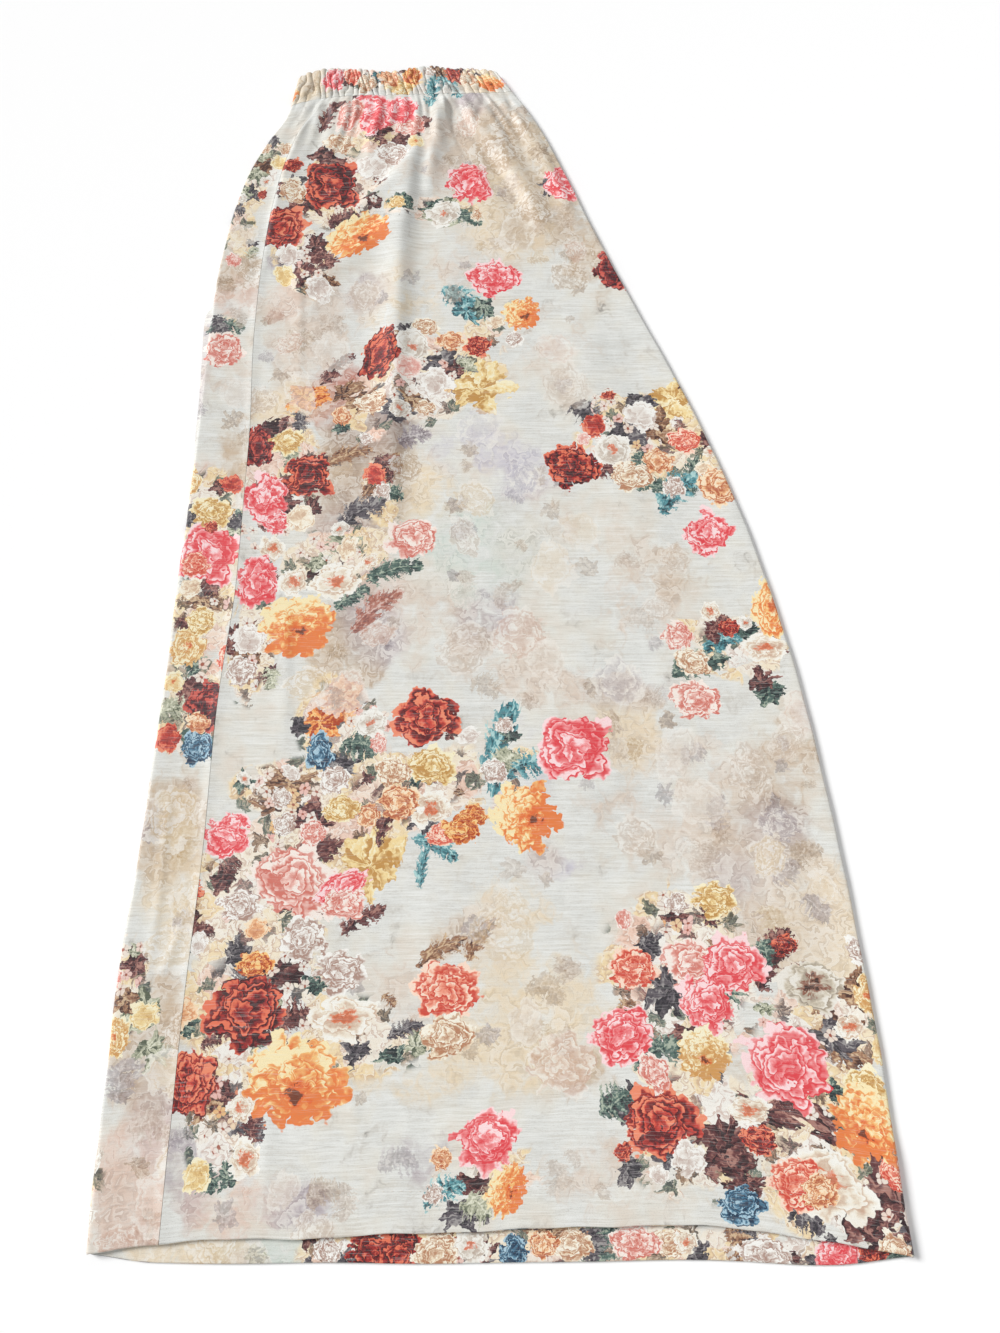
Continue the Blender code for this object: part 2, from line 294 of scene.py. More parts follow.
class Laid:
    """The flattened tube at an array of distances down, one for each row of a grid."""

    def __init__(self, downs):
        self.down = np.array(downs, float)[:, None]
        self.left = read(SECTIONS, "down", "left", self.down)
        self.seam = read(SECTIONS, "down", "seam", self.down)
        self.right = read(SECTIONS, "down", "right", self.down)
        self.under_seam = self.right - UNDER_SEAM_SHARE * (self.seam - self.left)
        self.slip = read(SLIPPED_LAYER, "down", "out", self.down)
        self.left_radius = self.form(self.left) / 2
        self.right_radius = self.form(self.right) / 2

    def form(self, x):
        """The solid's upper face."""
        down = self.down
        to_side = np.minimum(x - self.left, self.right - x)
        height = AIR_HEIGHT + (HEM_HEIGHT - AIR_HEIGHT) * smooth(*HEM_STEP, down)
        height = height + WAIST_RISE * np.exp(-down / WAIST_FADE)
        height = height + FOLD_RISE * bell(to_side, FOLD_ROLL)
        height = height + SEAM_RIDGE * bell(x - self.seam, SEAM_HALF_WIDTH)
        inside = inside_tube(self, x)
        for fold in SOFT_FOLDS:
            share = down / fold["foot_down"]
            line = fold["waist_x"] + (fold["foot_x"] - fold["waist_x"]) * share
            half_width = fold["half_width"] * (1 + FOLD_SPREAD * share)
            fading = (1 - smooth(0.25, 1, share)) * (share < 1)
            height = height + inside * fading * fold["height"] * bell(x - line, half_width)
        return height

    def relief(self, x):
        """What the cloth adds to the solid's form: gathers, creases and a slight unevenness."""
        down = self.down
        across = across_tube(self, x)
        wander = 0.25 * np.sin(down / 17 + 9 * across)
        fine = (gather_ridge(across, wander) - 0.45) * 2.0 * np.exp(-down / 17)
        wide = np.cos(math.pi * (gather_phase(across) / 1.5 + wander)) ** 2
        wide = (wide - 0.5) * 1.6 * np.exp(-(((down - 20) / 40) ** 2))
        uneven = 0.22 * np.sin(x / 31 + down / 57) + 0.18 * np.sin(x / 19 - down / 83 + 1.3)
        uneven = uneven + 0.10 * np.sin(x / 8.3 + 2 * np.sin(down / 61)) * smooth(0, 80, down)
        hem = 0.25 * smooth(LENGTH - TURNUP - 2, LENGTH - TURNUP + 1, down)
        hem = hem - 0.30 * bell(down - (LENGTH - TURNUP + 3), 1.6)
        total = fine + wide + uneven + hem + crease_height(CREASES, x, down)
        lowest = DEEPEST_TROUGH - WAIST_RISE * np.exp(-down / WAIST_FADE)
        return inside_tube(self, x) * np.maximum(total, lowest)

    def y(self, x, over):
        waist = read(WAIST_LINE, "x", "seam", x) * np.exp(-self.down / WAIST_LINE_FADE)
        front = read(HEM_LINE, "x", "front", x) + 0.5 * np.sin(x / 17) + 0.3 * np.sin(x / 7.1)
        back = read(HEM_LINE, "x", "back", x) + 0.4 * np.sin(x / 21 + 1)
        fade = smooth(LENGTH - HEM_LINE_FADE, LENGTH, self.down)
        return -self.down - PARTING / 2 + waist + fade * (over * front + (1 - over) * back)

    def seam_height(self, x):
        """The band's upper face where it meets the panel."""
        across = across_tube(self, x)
        relief = SEAM_RELIEF * (gather_ridge(across, gather_wander(across)) - 0.5)
        return 2 * BAND_RADIUS + inside_tube(self, x, FOLD_ROLL / 2) * (relief - FOLD_RISE / 2)

    def upper(self, x, depth):
        at_seam = self.seam_height(x)
        height = at_seam + (self.form(x) + self.relief(x) - at_seam) * smooth(*SEAM_FADE, self.down)
        return np.stack((x + 0 * self.down, self.y(x, 1), height - depth), -1)

    def lower(self, x, depth):
        z = crease_height(UNDER_CREASES, x, self.down) + depth
        return np.stack((x + 0 * self.down, self.y(x, 0), z), -1)

    def roll(self, side, shares, depth):
        radius = self.left_radius if side < 0 else self.right_radius
        edge = self.left if side < 0 else self.right
        slip = self.slip * smooth(0.4, 0.9, shares) if side < 0 else 0.0
        uneven = 0.35 * np.sin(self.down / 23) + 0.25 * np.sin(self.down / 9.7 + 2)
        middle = edge - side * radius - slip + uneven * np.cos(math.pi * (0.5 - shares))
        x, z = half_round(side, middle, radius, shares, depth)
        return np.stack((x, self.y(edge, 1 - shares) + 0 * x, z), -1)


def spread(start, end, steps):
    """Even places across, for each row of a grid."""
    return start + (end - start) * np.linspace(0, 1, steps + 1)[None, :]


# ---------------------------------------------------------------- grids and meshes

FRONT_COLUMNS = 164
STRIP_COLUMNS = 26
ROLL_STEPS = 10
UNDER_FRONT_COLUMNS = 12
UNDER_BACK_COLUMNS = 84
MAIN_ROWS = 220
HEM_ROWS = 20
CURL = 0.9  # how far the cloth's lower edge curls in, as a folded hem does


def rows_down(first, last, count, gather=0.6):
    """Distances down that lie closer together near the first one."""
    t = np.linspace(0, 1, count + 1)
    return first + (last - first) * (gather * t + (1 - gather) * t * t)


EDGE_ROWS = LENGTH - np.array((2.1, 1.4, 0.8, 0.4, 0.1, 0.0))
PANEL_ROWS = np.concatenate((
    rows_down(0, LENGTH - 36, MAIN_ROWS), np.linspace(LENGTH - 36, LENGTH - 3, HEM_ROWS)[1:], EDGE_ROWS))
TURNUP_ROWS = np.concatenate((np.linspace(LENGTH - TURNUP, LENGTH - 3, 14), EDGE_ROWS))


def curled(laid, depth, inwards):
    """How deep a layer lies, row by row: its lower edge curls in (or, on the turn-up, out) to the fold."""
    to_edge = np.clip(LENGTH - laid.down, 0, CURL)
    drop = CURL - np.sqrt(CURL**2 - (CURL - to_edge) ** 2)
    return depth + (drop if inwards else -drop)


def wrapped(tube, side, top, under, turn, arc, depth):
    """A sheet that lies on top and goes round one side, at turn, to lie below: its points, and where on
    the print they are. The arc is how much of the print the side takes up."""
    shares = np.linspace(0.5 - side / 2, 0.5 + side / 2, ROLL_STEPS + 1)[None, 1:-1]
    points = (tube.upper(top, depth), tube.roll(side, shares, depth), tube.lower(under, depth))
    printed = (top, turn + side * arc * shares, 2 * turn + side * arc - under)
    return np.concatenate(points[::side], 1), np.concatenate(printed[::side], 1)


def front_grid(laid, depth):
    turn = laid.right - laid.right_radius
    top = spread(laid.seam + PARTING / 2, turn, FRONT_COLUMNS)
    under = spread(turn, laid.under_seam + PARTING / 2, UNDER_FRONT_COLUMNS)
    return wrapped(laid, 1, top, under, turn, math.pi * laid.right_radius, depth)


def back_grid(laid, depth):
    turn = laid.left + laid.left_radius
    top = spread(turn, laid.seam - PARTING / 2, STRIP_COLUMNS)
    under = spread(laid.under_seam - PARTING / 2, turn - laid.slip, UNDER_BACK_COLUMNS)
    return wrapped(laid, -1, top, under, turn, math.pi * laid.left_radius, depth)


def shell_faces(row_count, column_count):
    """Quads of a closed shell whose vertices are an outer grid and then an inner one."""
    index = np.arange(row_count * column_count).reshape(row_count, column_count)
    a, b, c, d = index[:-1, :-1], index[:-1, 1:], index[1:, 1:], index[1:, :-1]
    outer = np.stack((a, d, c, b), -1).reshape(-1, 4)
    inner = np.stack((a, b, c, d), -1).reshape(-1, 4) + index.size
    rim = np.concatenate((index[0, :-1], index[:-1, -1], index[-1, :0:-1], index[:0:-1, 0]))
    after = np.roll(rim, -1)
    edge = np.stack((rim, after, after + index.size, rim + index.size), -1)
    return np.concatenate((outer, inner, edge))


def place_in_frame():
    """From this script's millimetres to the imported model's frame: what to add, in metres."""
    low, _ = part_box("back_panel")
    _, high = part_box("front_panel")
    waist_top = WAIST_LINE[-1]["seam"] - PARTING / 2
    return np.array((low.x - SECTIONS[-1]["left"] * MM, high.y - waist_top * MM, 0.0))


ORIGIN = place_in_frame()


def to_frame(points):
    return np.asarray(points) * MM + ORIGIN


def link(obj):
    bpy.context.scene.collection.objects.link(obj)
    return obj


def shell(name, outer, inner):
    """A closed thin piece from its outer and inner grids."""
    vertices = np.concatenate((outer.reshape(-1, 3), inner.reshape(-1, 3)))
    mesh = bpy.data.meshes.new(name)
    mesh.from_pydata(to_frame(vertices).tolist(), [], shell_faces(*outer.shape[:2]).tolist())
    bm = bmesh.new()
    bm.from_mesh(mesh)
    bmesh.ops.recalc_face_normals(bm, faces=bm.faces)
    bm.to_mesh(mesh)
    bm.free()
    mesh.shade_smooth()
    mesh.set_sharp_from_angle(angle=math.radians(60))
    return link(bpy.data.objects.new(name, mesh))


# ---------------------------------------------------------------- the print, in millimetres


def named_numbers(text):
    """A table written as text: a dict from each line's name to its numbers."""
    return {name: [float(n) for n in numbers] for name, *numbers in map(str.split, text.strip().splitlines())}


# Colours are linear. Each ink has a deep and a light shade, one for the tips, and the width of its eye
# (0.5 more for one that is dark all through).
INKS = named_numbers("""
red  0.045 0.006 0.01  0.4 0.024 0.022  0.8 0.19 0.1  0
darkred  0.03 0.006 0.012  0.25 0.016 0.02  0.62 0.11 0.08  0
flame  0.1 0.008 0.012  0.6 0.055 0.038  0.84 0.27 0.15  0
coral  0.6 0.06 0.035  0.87 0.33 0.22  0.92 0.72 0.58  0
pink  0.72 0.05 0.065  0.89 0.31 0.32  0.94 0.72 0.73  0
blush  0.62 0.17 0.13  0.86 0.56 0.49  0.9 0.82 0.75  0
white  0.4 0.25 0.2  0.79 0.74 0.68  0.9 0.89 0.85  0
cream  0.46 0.21 0.11  0.84 0.71 0.52  0.9 0.86 0.74  0
yellow  0.52 0.27 0.07  0.85 0.66 0.32  0.9 0.84 0.6  0
peach  0.46 0.12 0.05  0.87 0.49 0.25  0.9 0.76 0.55  0
orange  0.4 0.05 0.01  0.86 0.33 0.09  0.9 0.62 0.26  0
amber  0.76 0.2 0.05  0.89 0.52 0.19  0.9 0.79 0.48  0.15
butter  0.6 0.3 0.09  0.86 0.68 0.36  0.89 0.84 0.62  0.12
daisy  0.34 0.22 0.15  0.78 0.74 0.66  0.88 0.87 0.82  0.14
ember  0.42 0.16 0.07  0.82 0.74 0.6  0.89 0.88 0.82  0.19
anemone  0.12 0.07 0.05  0.62 0.55 0.43  0.82 0.79 0.72  0.72
blue  0.008 0.03 0.07  0.08 0.22 0.34  0.42 0.6 0.7  0
teal  0.008 0.035 0.05  0.09 0.29 0.33  0.45 0.68 0.66  0
pine  0.01 0.022 0.025  0.08 0.14 0.12  0.42 0.48 0.38  0
charcoal  0.022 0.02 0.028  0.1 0.085 0.1  0.36 0.34 0.33  0
plum  0.025 0.008 0.012  0.13 0.038 0.04  0.42 0.21 0.17  0
brown  0.06 0.022 0.016  0.32 0.16 0.09  0.66 0.48 0.3  0
sage  0.09 0.11 0.07  0.46 0.47 0.34  0.74 0.74 0.6  0
""")
KINDS = ("rose", "poppy", "open")
LEAF_KINDS = ("burst", "feather", "lily")

# Faded bouquets behind are soft ellipses of tint.
TINTS = named_numbers("""
tan 0.54 0.39 0.25
beige 0.67 0.55 0.45
sand 0.79 0.64 0.43
mauve 0.41 0.35 0.39
lilac 0.56 0.54 0.62
rust 0.50 0.14 0.08
umber 0.22 0.12 0.10
rosy 0.72 0.49 0.39
mint 0.58 0.66 0.60
""")
CREAM = (0.86, 0.83, 0.77)
MOTIF = "kind ink x down size squash turn"
FIELD = "x down wide tall weight turn"
GHOST = "tint x down wide tall weight turn"


def read_print(text):
    """Five tables with a blank line between them: blooms, leaves, the soft ellipses where dark foliage
    grows in a dense bouquet, those of small filler flowers, and those of the faded bouquets."""
    return [rows(*table) for table in zip((MOTIF, MOTIF, FIELD, FIELD, GHOST), text.split("\n\n"))]


FRONT = read_print("""
rose red -165 110 58 1.15 20
rose flame -210 160 50 1.1 -30
poppy amber -135 170 74 0.66 38
rose pink -135 15 46 0.9 10
rose pink -125 35 36 1 60
rose yellow -100 -10 30 1.2
rose pink -30 110 50 1.05 -20
open daisy -55 145 34 0.9 20
open white -125 90 36 0.95
rose pink 65 110 44 1
rose darkred 110 210 44 1.2
rose pink -5 220 48 0.88 10
poppy amber 20 260 40 0.95 60
rose red -110 305 36 1.8 -22
open daisy -80 295 30 1.2
open white -60 335 36 0.95
rose peach -45 290 28 0.8
rose flame -20 295 25 1 40
rose cream -70 275 26 0.8
rose darkred -215 400 32 1.45
rose yellow -190 395 31 0.85
rose red -170 430 50 0.95 30
rose pink -205 450 42 1.15
rose pink -195 475 24 0.9
rose blush -75 490 44 0.92
rose red 65 420 46 1
rose pink -205 530 44 1.2
open ember -140 530 44 0.72 12
poppy amber -170 570 68 0.8 16
rose blue -145 680 24 1.45 10
open daisy -105 655 28 0.85
rose flame -60 650 54 0.92
rose yellow -55 690 42 0.78
rose pink -215 745 40 0.9 -15
rose yellow -125 725 30 0.8
rose blush -160 780 66 0.85 -20
rose coral -165 775 30 1.2
rose white -200 800 36 0.75
open ember -55 725 34 0.85
rose orange -20 730 24 0.85
poppy amber 20 730 56 1.02 70
rose red -190 880 62 1 25
rose orange -185 845 28 0.8
open ember -115 885 54 0.68
rose coral -40 865 52 0.92
rose flame -225 930 40 1.4
poppy amber -150 930 86 0.82 5
rose pink -10 975 49 0.92
poppy amber 5 1010 38 0.8 60
open white 125 370 36 0.85
rose coral 165 395 32 0.8
open daisy 100 405 34 0.95
rose peach 140 415 31 0.9
rose cream 115 430 40 0.78
rose peach 195 440 42 1
rose pink 180 485 46 0.95
rose amber 230 555 34 1.6
open ember 220 590 38 0.62
rose blush 160 635 42 0.85
rose pink 60 675 67 0.9 15
rose yellow 165 795 37 0.8
rose coral 100 850 37 0.95
rose blush 145 845 46 0.9
rose pink 175 845 50 0.95 30
rose blush 190 880 36 0.9
rose pink 155 875 46 0.95 60
open anemone 235 860 54 0.72 5
rose pink 90 900 50 0.94
rose flame 115 965 56 1 40
poppy butter 150 915 42 1
open ember 180 955 34 0.62
rose blue 170 1020 34 0.8 20
rose pink 210 920 68 0.92 -20
poppy amber 265 955 60 0.9 -30
open ember 230 1000 70 0.74
rose peach -80 720 34 0.9
rose orange -30 740 30 0.9
rose cream -85 695 28 0.9
rose coral -45 745 26 0.8
rose pink -120 785 48 0.5 30
rose blush -120 800 36 0.8
rose white -150 825 40 0.9
rose white -120 850 44 0.8
rose cream -160 830 30 0.9
rose blush -150 25 44 0.6 60
rose coral -120 15 30 1.2 20
rose white -105 75 36 0.8
rose cream -40 900 40 0.9
rose butter 145 930 38 1.2
rose yellow 265 930 30 1
rose white 160 890 40 0.8
rose cream 125 895 34 0.9
rose coral 280 985 24 1
rose pink -105 40 34 1 30
rose coral 210 1000 42 0.9
rose peach 225 1005 28 0.8 30
rose flame 185 975 26 0.8
rose flame 205 960 22 0.9
rose pink -100 20 38 0.9
rose blush -90 40 32 0.9
rose coral -115 60 34 1.1 20
rose cream -160 60 32 0.9
rose flame -205 85 22 0.9
rose red 215 830 20 0.9

burst plum -170 80 50 0.8
burst plum -190 130 46 1 40
burst charcoal -105 15 36 1.1 20
burst plum -120 50 40 0.6 30
feather teal -65 -5 44 0.45 72
feather teal -50 -10 40 0.5 -50
burst pine -95 135 34 0.9
burst sage -60 150 50 0.8
burst charcoal 50 115 30 1.2
feather teal -35 245 48 0.6 -35
burst teal -30 260 40 0.9
burst pine -15 255 30 1.4
lily yellow -20 340 58 0.86 20
feather charcoal 0 305 30 0.6 60
burst brown -80 355 50 0.7
burst charcoal -50 315 56 0.9
burst plum -115 340 44 0.8 50
burst plum -205 385 46 0.9
burst plum -190 460 50 0.7 20
burst sage -135 495 46 0.6
feather pine -90 520 50 0.45 15
feather pine -125 545 34 0.6 30
burst brown -210 600 34 1.6
lily peach -130 635 42 1 40
lily orange -145 655 34 0.9
burst charcoal -130 690 38 0.8
feather teal 0 675 82 0.36 78
feather teal 20 690 34 0.75 20
burst brown -170 705 54 0.65
feather plum -90 735 40 0.35 70
lily yellow -100 765 54 0.92 -70
feather teal -50 755 40 0.45 -25
feather teal -60 770 34 0.32 80
burst plum -215 780 32 1
burst plum -125 800 46 0.55 20
burst plum -160 850 44 0.8
burst pine -140 860 30 0.8
feather charcoal -70 895 30 0.45 20
burst charcoal -105 910 32 0.9
burst pine -80 915 30 0.8
burst sage -60 905 38 0.95
feather teal -40 1010 32 0.65 20
burst brown 100 355 42 0.8
burst charcoal 110 390 60 0.85
burst brown 140 380 50 0.9
lily yellow 155 355 46 0.9 30
feather pine 135 440 30 0.6
feather teal 155 445 52 0.6 48
feather pine 170 430 42 0.5 80
burst pine 205 575 40 0.6
feather teal 185 585 34 0.65 20
feather pine 165 605 52 0.48 16
burst pine 220 630 40 0.75
burst plum 135 810 30 0.9
burst charcoal 125 865 46 1.6
burst plum 220 845 32 1.2
burst brown 250 890 54 0.8
feather pine 115 915 42 0.75 25
burst charcoal 100 955 54 1.1
burst charcoal 105 985 32 0.65
lily peach 145 970 34 1.1 60
burst plum 165 980 54 1.1
burst plum 195 955 60 0.6 -20
burst pine 245 935 30 0.7
burst plum 235 960 74 0.5 -25
burst plum 280 1000 60 1.4
feather plum -170 25 44 0.45 60
feather plum -110 70 40 0.45 -50
burst plum -145 -5 34 0.8
feather plum -95 55 40 0.4 55
burst pine -60 140 46 0.7
feather pine -35 150 40 0.5 -20
feather brown -45 835 46 0.4 30
feather brown -15 825 40 0.4 55
feather plum -150 790 50 0.45 35
feather plum -125 775 44 0.4 40
feather plum -105 810 40 0.45 30
burst plum 275 970 50 1.2
feather plum 250 960 46 0.5 -40
burst brown 150 950 40 0.8
burst brown -140 345 50 0.6 30
burst plum -115 370 44 0.5 40
feather brown -105 430 54 0.4 55
feather charcoal -120 465 50 0.5 35
feather brown -135 410 46 0.45 20
lily orange -175 350 40 0.8
burst brown -95 400 36 0.6 30
feather plum -150 320 44 0.4 50
feather plum 205 840 54 0.5 60
burst charcoal 265 885 46 0.7
feather brown 245 905 58 0.45 -20
burst plum 265 1025 54 0.8
burst charcoal 285 1030 40 1
burst plum 175 1005 44 0.6
burst plum -150 735 50 0.9
burst brown -175 720 50 0.7 10
burst plum -130 760 48 0.9
burst plum -200 770 50 0.8 30
feather plum -150 765 64 0.45 30
burst plum -85 380 34 0.9
burst plum -215 585 36 1.6
burst charcoal 125 355 44 0.7
burst plum 140 905 44 0.9
burst plum -20 1005 40 0.6
burst charcoal 125 990 46 0.7
burst plum 160 990 52 0.8
burst plum 190 985 52 0.9
burst pine 210 880 42 0.8
burst brown 265 865 50 0.9
burst plum 255 1015 60 0.7
burst charcoal -25 1025 44 0.7
feather plum -90 50 56 0.45 50
feather plum -180 205 62 0.5 65
burst plum -175 180 42 0.9
burst charcoal -95 365 50 0.8
burst plum -70 350 44 0.8 20
burst plum 225 840 48 0.9
burst charcoal 245 900 50 0.7
burst plum 185 965 46 0.9
burst brown -125 355 48 0.7 30
burst plum -105 360 40 0.8

-160 120 50 48 0.75
-190 195 26 48 0.85 20
-120 45 40 34 0.6
-70 140 50 16 0.55
-70 330 58 48 0.85 -20
-195 425 40 56 0.75
-150 510 62 30 0.6 15
-205 590 20 54 0.85
-130 655 36 44 0.6
-80 710 84 40 0.7 15
-165 710 50 26 0.75
-190 800 62 54 0.75 20
-185 870 70 40 0.65
-200 945 28 60 0.85
-105 900 64 30 0.55
135 390 64 52 0.85
195 590 52 30 0.6 -20
140 860 64 76 0.75
140 965 60 56 0.75
240 890 46 40 0.75
220 935 60 40 0.5
245 990 66 50 0.85
-20 300 36 36 0.5
-10 1000 50 20 0.5
10 700 30 44 0.4
-120 370 26 34 0.5 30
-110 440 18 44 0.45 20
-150 745 50 34 0.75
255 885 40 34 0.8

-180 200 16 34 0.95 15
-150 120 40 30 0.5
-70 335 40 36 0.8 -10
-80 360 24 18 0.5
-205 480 28 26 0.6
-150 505 36 20 0.55
-210 600 12 40 1
-105 655 22 20 0.7
-170 710 32 20 1
-165 740 22 20 0.9
-195 815 42 18 0.5
-200 950 14 40 1
-170 850 50 22 0.4
100 360 22 18 1
120 400 34 32 0.75
135 805 16 28 0.9
185 885 36 20 0.5
245 895 22 18 0.6
225 950 36 14 0.6 -20
260 1000 26 30 0.5
-140 895 40 16 0.4

tan -5 60 46 52 0.85 -20
tan 40 135 46 60 0.8 -20
sand 25 105 60 66 0.55
mauve -25 10 20 20 0.7
sand 10 175 46 26 0.75
tan 85 190 34 50 0.6
beige -95 60 60 60 0.35
mauve -200 200 26 22 0.65
beige -175 250 56 50 0.7
rosy -200 240 20 30 0.55
mauve -125 235 24 26 0.6
beige -180 305 44 36 0.6
sand -185 355 40 22 0.7
rust -140 345 54 30 0.95 25
umber -115 380 44 40 0.95 50
sand -205 365 30 22 0.8
tan -130 420 50 50 0.9 30
umber -120 465 50 34 0.9 50
sand -85 445 46 46 0.8
lilac -20 405 50 26 0.5
lilac 20 425 36 30 0.6
mint -20 500 70 46 0.5
rosy -125 510 30 60 0.7 40
tan -130 600 34 44 0.8 30
lilac -105 575 26 34 0.75 30
beige -70 560 60 44 0.55
mauve -10 565 32 26 0.55 30
beige 5 600 50 34 0.45
beige -115 690 44 40 0.45
beige 120 540 44 56 0.42
tan 150 520 30 30 0.38
mauve 105 630 34 16 0.7
sand 105 655 30 44 0.85
beige 50 625 60 20 0.6
tan 235 680 36 40 0.5
beige 190 700 60 40 0.45
mauve 215 740 34 22 0.6
umber 215 725 26 14 0.55
beige 150 755 56 36 0.6
tan 205 735 50 40 0.5
beige 215 800 52 60 0.75
tan 200 825 26 30 0.6
mauve 180 775 22 20 0.6
sand 245 820 40 60 0.8
lilac 40 770 24 18 0.5
tan 35 765 16 14 0.5
sand 20 865 60 36 0.65
beige -20 820 40 24 0.55 30
tan -35 825 28 14 0.65 35
sand -10 905 50 26 0.6
sand 20 920 52 26 0.75
tan 60 930 30 22 0.65
sand 60 880 30 30 0.5
beige 80 1000 60 30 0.5
mauve -220 985 24 40 0.65
mauve -140 1015 34 18 0.7
mauve -180 970 12 22 0.6
umber -205 925 26 20 0.4
rosy -190 1010 44 26 0.5
sand -70 935 60 16 0.5
mauve -55 985 20 22 0.55
beige -70 870 40 34 0.5
sand 10 800 40 30 0.35
lilac 20 700 30 60 0.25
sand 200 1000 60 30 0.4
tan 160 925 30 26 0.45
beige -50 70 34 60 0.6
sand -15 140 36 50 0.5
beige -35 205 50 40 0.4
beige 40 300 60 40 0.3
sand -90 250 40 50 0.4
beige 40 480 50 60 0.3
beige 100 700 50 60 0.3
umber -105 415 26 40 0.9 -10
umber -120 555 26 60 0.6 20
""")
# The strip of the back panel that shows at the left, and the back panel below, whose print goes on
# towards smaller x from the left side. Its last two leaves, in plum and charcoal, and its last three faded
# bouquets, in mauve and umber, lie at x from -275 to -290 on the slipped layer and its rolled side: they
# are painted shade there, drawn as print motifs.
STRIP = read_print("""
rose blush -255 300 38 1.05
rose yellow -250 465 38 0.8
rose flame -250 480 12 1
rose pink -250 505 60 1
rose coral -260 515 28 0.9
rose butter -260 590 32 1.2
rose darkred -240 640 34 1.2
rose peach -245 655 22 0.8
rose blue -245 675 27 1.15
rose butter -285 895 24 1.4
rose coral -225 600 18 1.7
rose pink -290 410 26 1.6

burst brown -235 85 38 1.2
burst charcoal -245 120 34 1.2
feather pine -255 275 36 0.55 8
burst charcoal -270 470 24 1.3
burst brown -250 550 40 0.6
burst plum -250 630 44 0.9
burst plum -275 840 32 1.1
burst brown -280 870 34 0.9
lily yellow -285 905 48 1 70
burst sage -240 65 34 1.2
burst charcoal -230 50 26 1.2
burst sage -265 875 40 1.2
burst sage -255 905 36 1.2 40
burst plum -290 395 34 1.2
burst charcoal -290 425 30 1.4

-235 90 22 50 0.75 -10
-250 165 16 40 0.5
-255 290 20 26 0.5
-255 480 32 60 0.6
-250 560 34 40 0.55
-250 640 34 44 0.8
-280 865 18 38 0.8

-240 545 18 30 0.6
-280 845 16 26 0.8
-250 610 18 18 0.5

sand -250 130 20 40 0.65
tan -255 190 24 50 0.7
rosy -250 240 24 30 0.65
beige -250 320 30 30 0.45
tan -235 420 20 50 0.65
rosy -260 430 20 26 0.5
sand -240 500 26 50 0.55
tan -260 620 26 60 0.6
tan -260 740 34 50 0.8
sand -250 790 30 40 0.6
tan -260 900 34 60 0.75
mauve -250 950 20 34 0.5
rosy -260 990 40 50 0.7
beige -260 1020 40 40 0.6
mauve -290 340 16 100 0.85
umber -290 400 14 50 0.6
mauve -275 300 12 60 0.6
""")
BAND = read_print("""
rose pink -170 -20 24 1.4
rose coral -150 -25 20 1.2
rose cream -135 -15 20 1.3
rose peach -110 -25 26 1.2
rose yellow -100 -10 28 1
rose orange -85 -25 20 1.3
rose flame -40 -25 20 1.2
rose cream -25 -20 18 1.4
poppy amber -5 -15 30 0.9

burst plum -155 -20 26 1.2
burst teal -120 -25 26 1.1
burst plum -90 -30 26 1
feather teal -65 -10 42 0.4 72
feather teal -50 -15 36 0.5 -55
burst brown -55 -30 26 1.1
burst plum -30 -30 26 1

-120 -25 52 18 0.75
-30 -30 44 14 0.55

-125 -20 50 18 0.45
-30 -25 30 14 0.4

sand -205 -20 30 30 0.85
tan -195 -25 16 20 0.6
beige -60 -20 80 30 0.3
""")
HEM = read_print("""
rose red -90 1030 36 0.9
rose red -70 1030 36 0.85 60
rose cream -45 1030 34 0.8
open daisy -20 1025 26 0.85
rose blue 10 1030 24 1.1
rose peach 30 1025 22 0.9
rose cream 50 1025 34 0.65
rose blush 95 1025 34 0.7
rose white 185 1030 40 0.6
rose cream 120 1025 30 0.7
open ember 130 1025 16 1
rose pink 235 1030 32 0.85
rose red 260 1030 26 0.8

burst charcoal -110 1035 26 1.1
burst plum -55 1035 26 0.9
burst charcoal -20 1035 40 0.7
burst brown 40 1020 50 0.5
burst charcoal 250 1035 30 0.8
burst plum 275 1035 44 0.8
burst sage -170 1030 26 0.7

-70 1030 70 22 0.85
30 1025 60 20 0.8
120 1025 60 16 0.5
235 1030 60 18 0.85

-30 1030 26 12 0.8
40 1030 24 10 0.6

sand -220 1030 50 16 0.65
mint -150 1030 50 16 0.6
tan 100 1030 60 16 0.85
rosy 70 1035 40 16 0.7
mauve 185 1035 50 16 0.7
beige 210 1035 60 16 0.6
""")


# Where the print repeats, in millimetres across and down. The strip's blooms, leaves and foliage come
# again at the front panel's right side.
STRIP_SHIFTS = ((560, -30), (575, -30), (575, -30))
BACK_SHIFT = -590
REPEAT_GAP = 12
BAND_SHIFTS = (190, -215)


def shifted(table, x, down=0.0):
    return [dict(row, x=row["x"] + x, down=row["down"] + down) for row in table]


def with_repeat(own, other):
    """The strip's motifs, and the front panel's moved aside to fill what is hidden of the back panel."""
    edge = min(row["x"] for row in own) - REPEAT_GAP
    return own + [row for row in shifted(other, BACK_SHIFT) if row["x"] < edge]


def tripled(table):
    """The band's motifs, which repeat along it."""
    right, left = BAND_SHIFTS
    return table + shifted(table, right) + shifted(table, left)


SCATTERED_FLOWERS = ("cream", "white", "blush", "yellow", "peach", "cream", "flame", "white", "butter")
SCATTERED_LEAVES = ("plum", "charcoal", "pine", "brown", "plum", "sage")


def tries(row, area):
    """A turn for each so much of an ellipse's weighed area."""
    return range(int(row["wide"] * row["tall"] * row["weight"] / area))


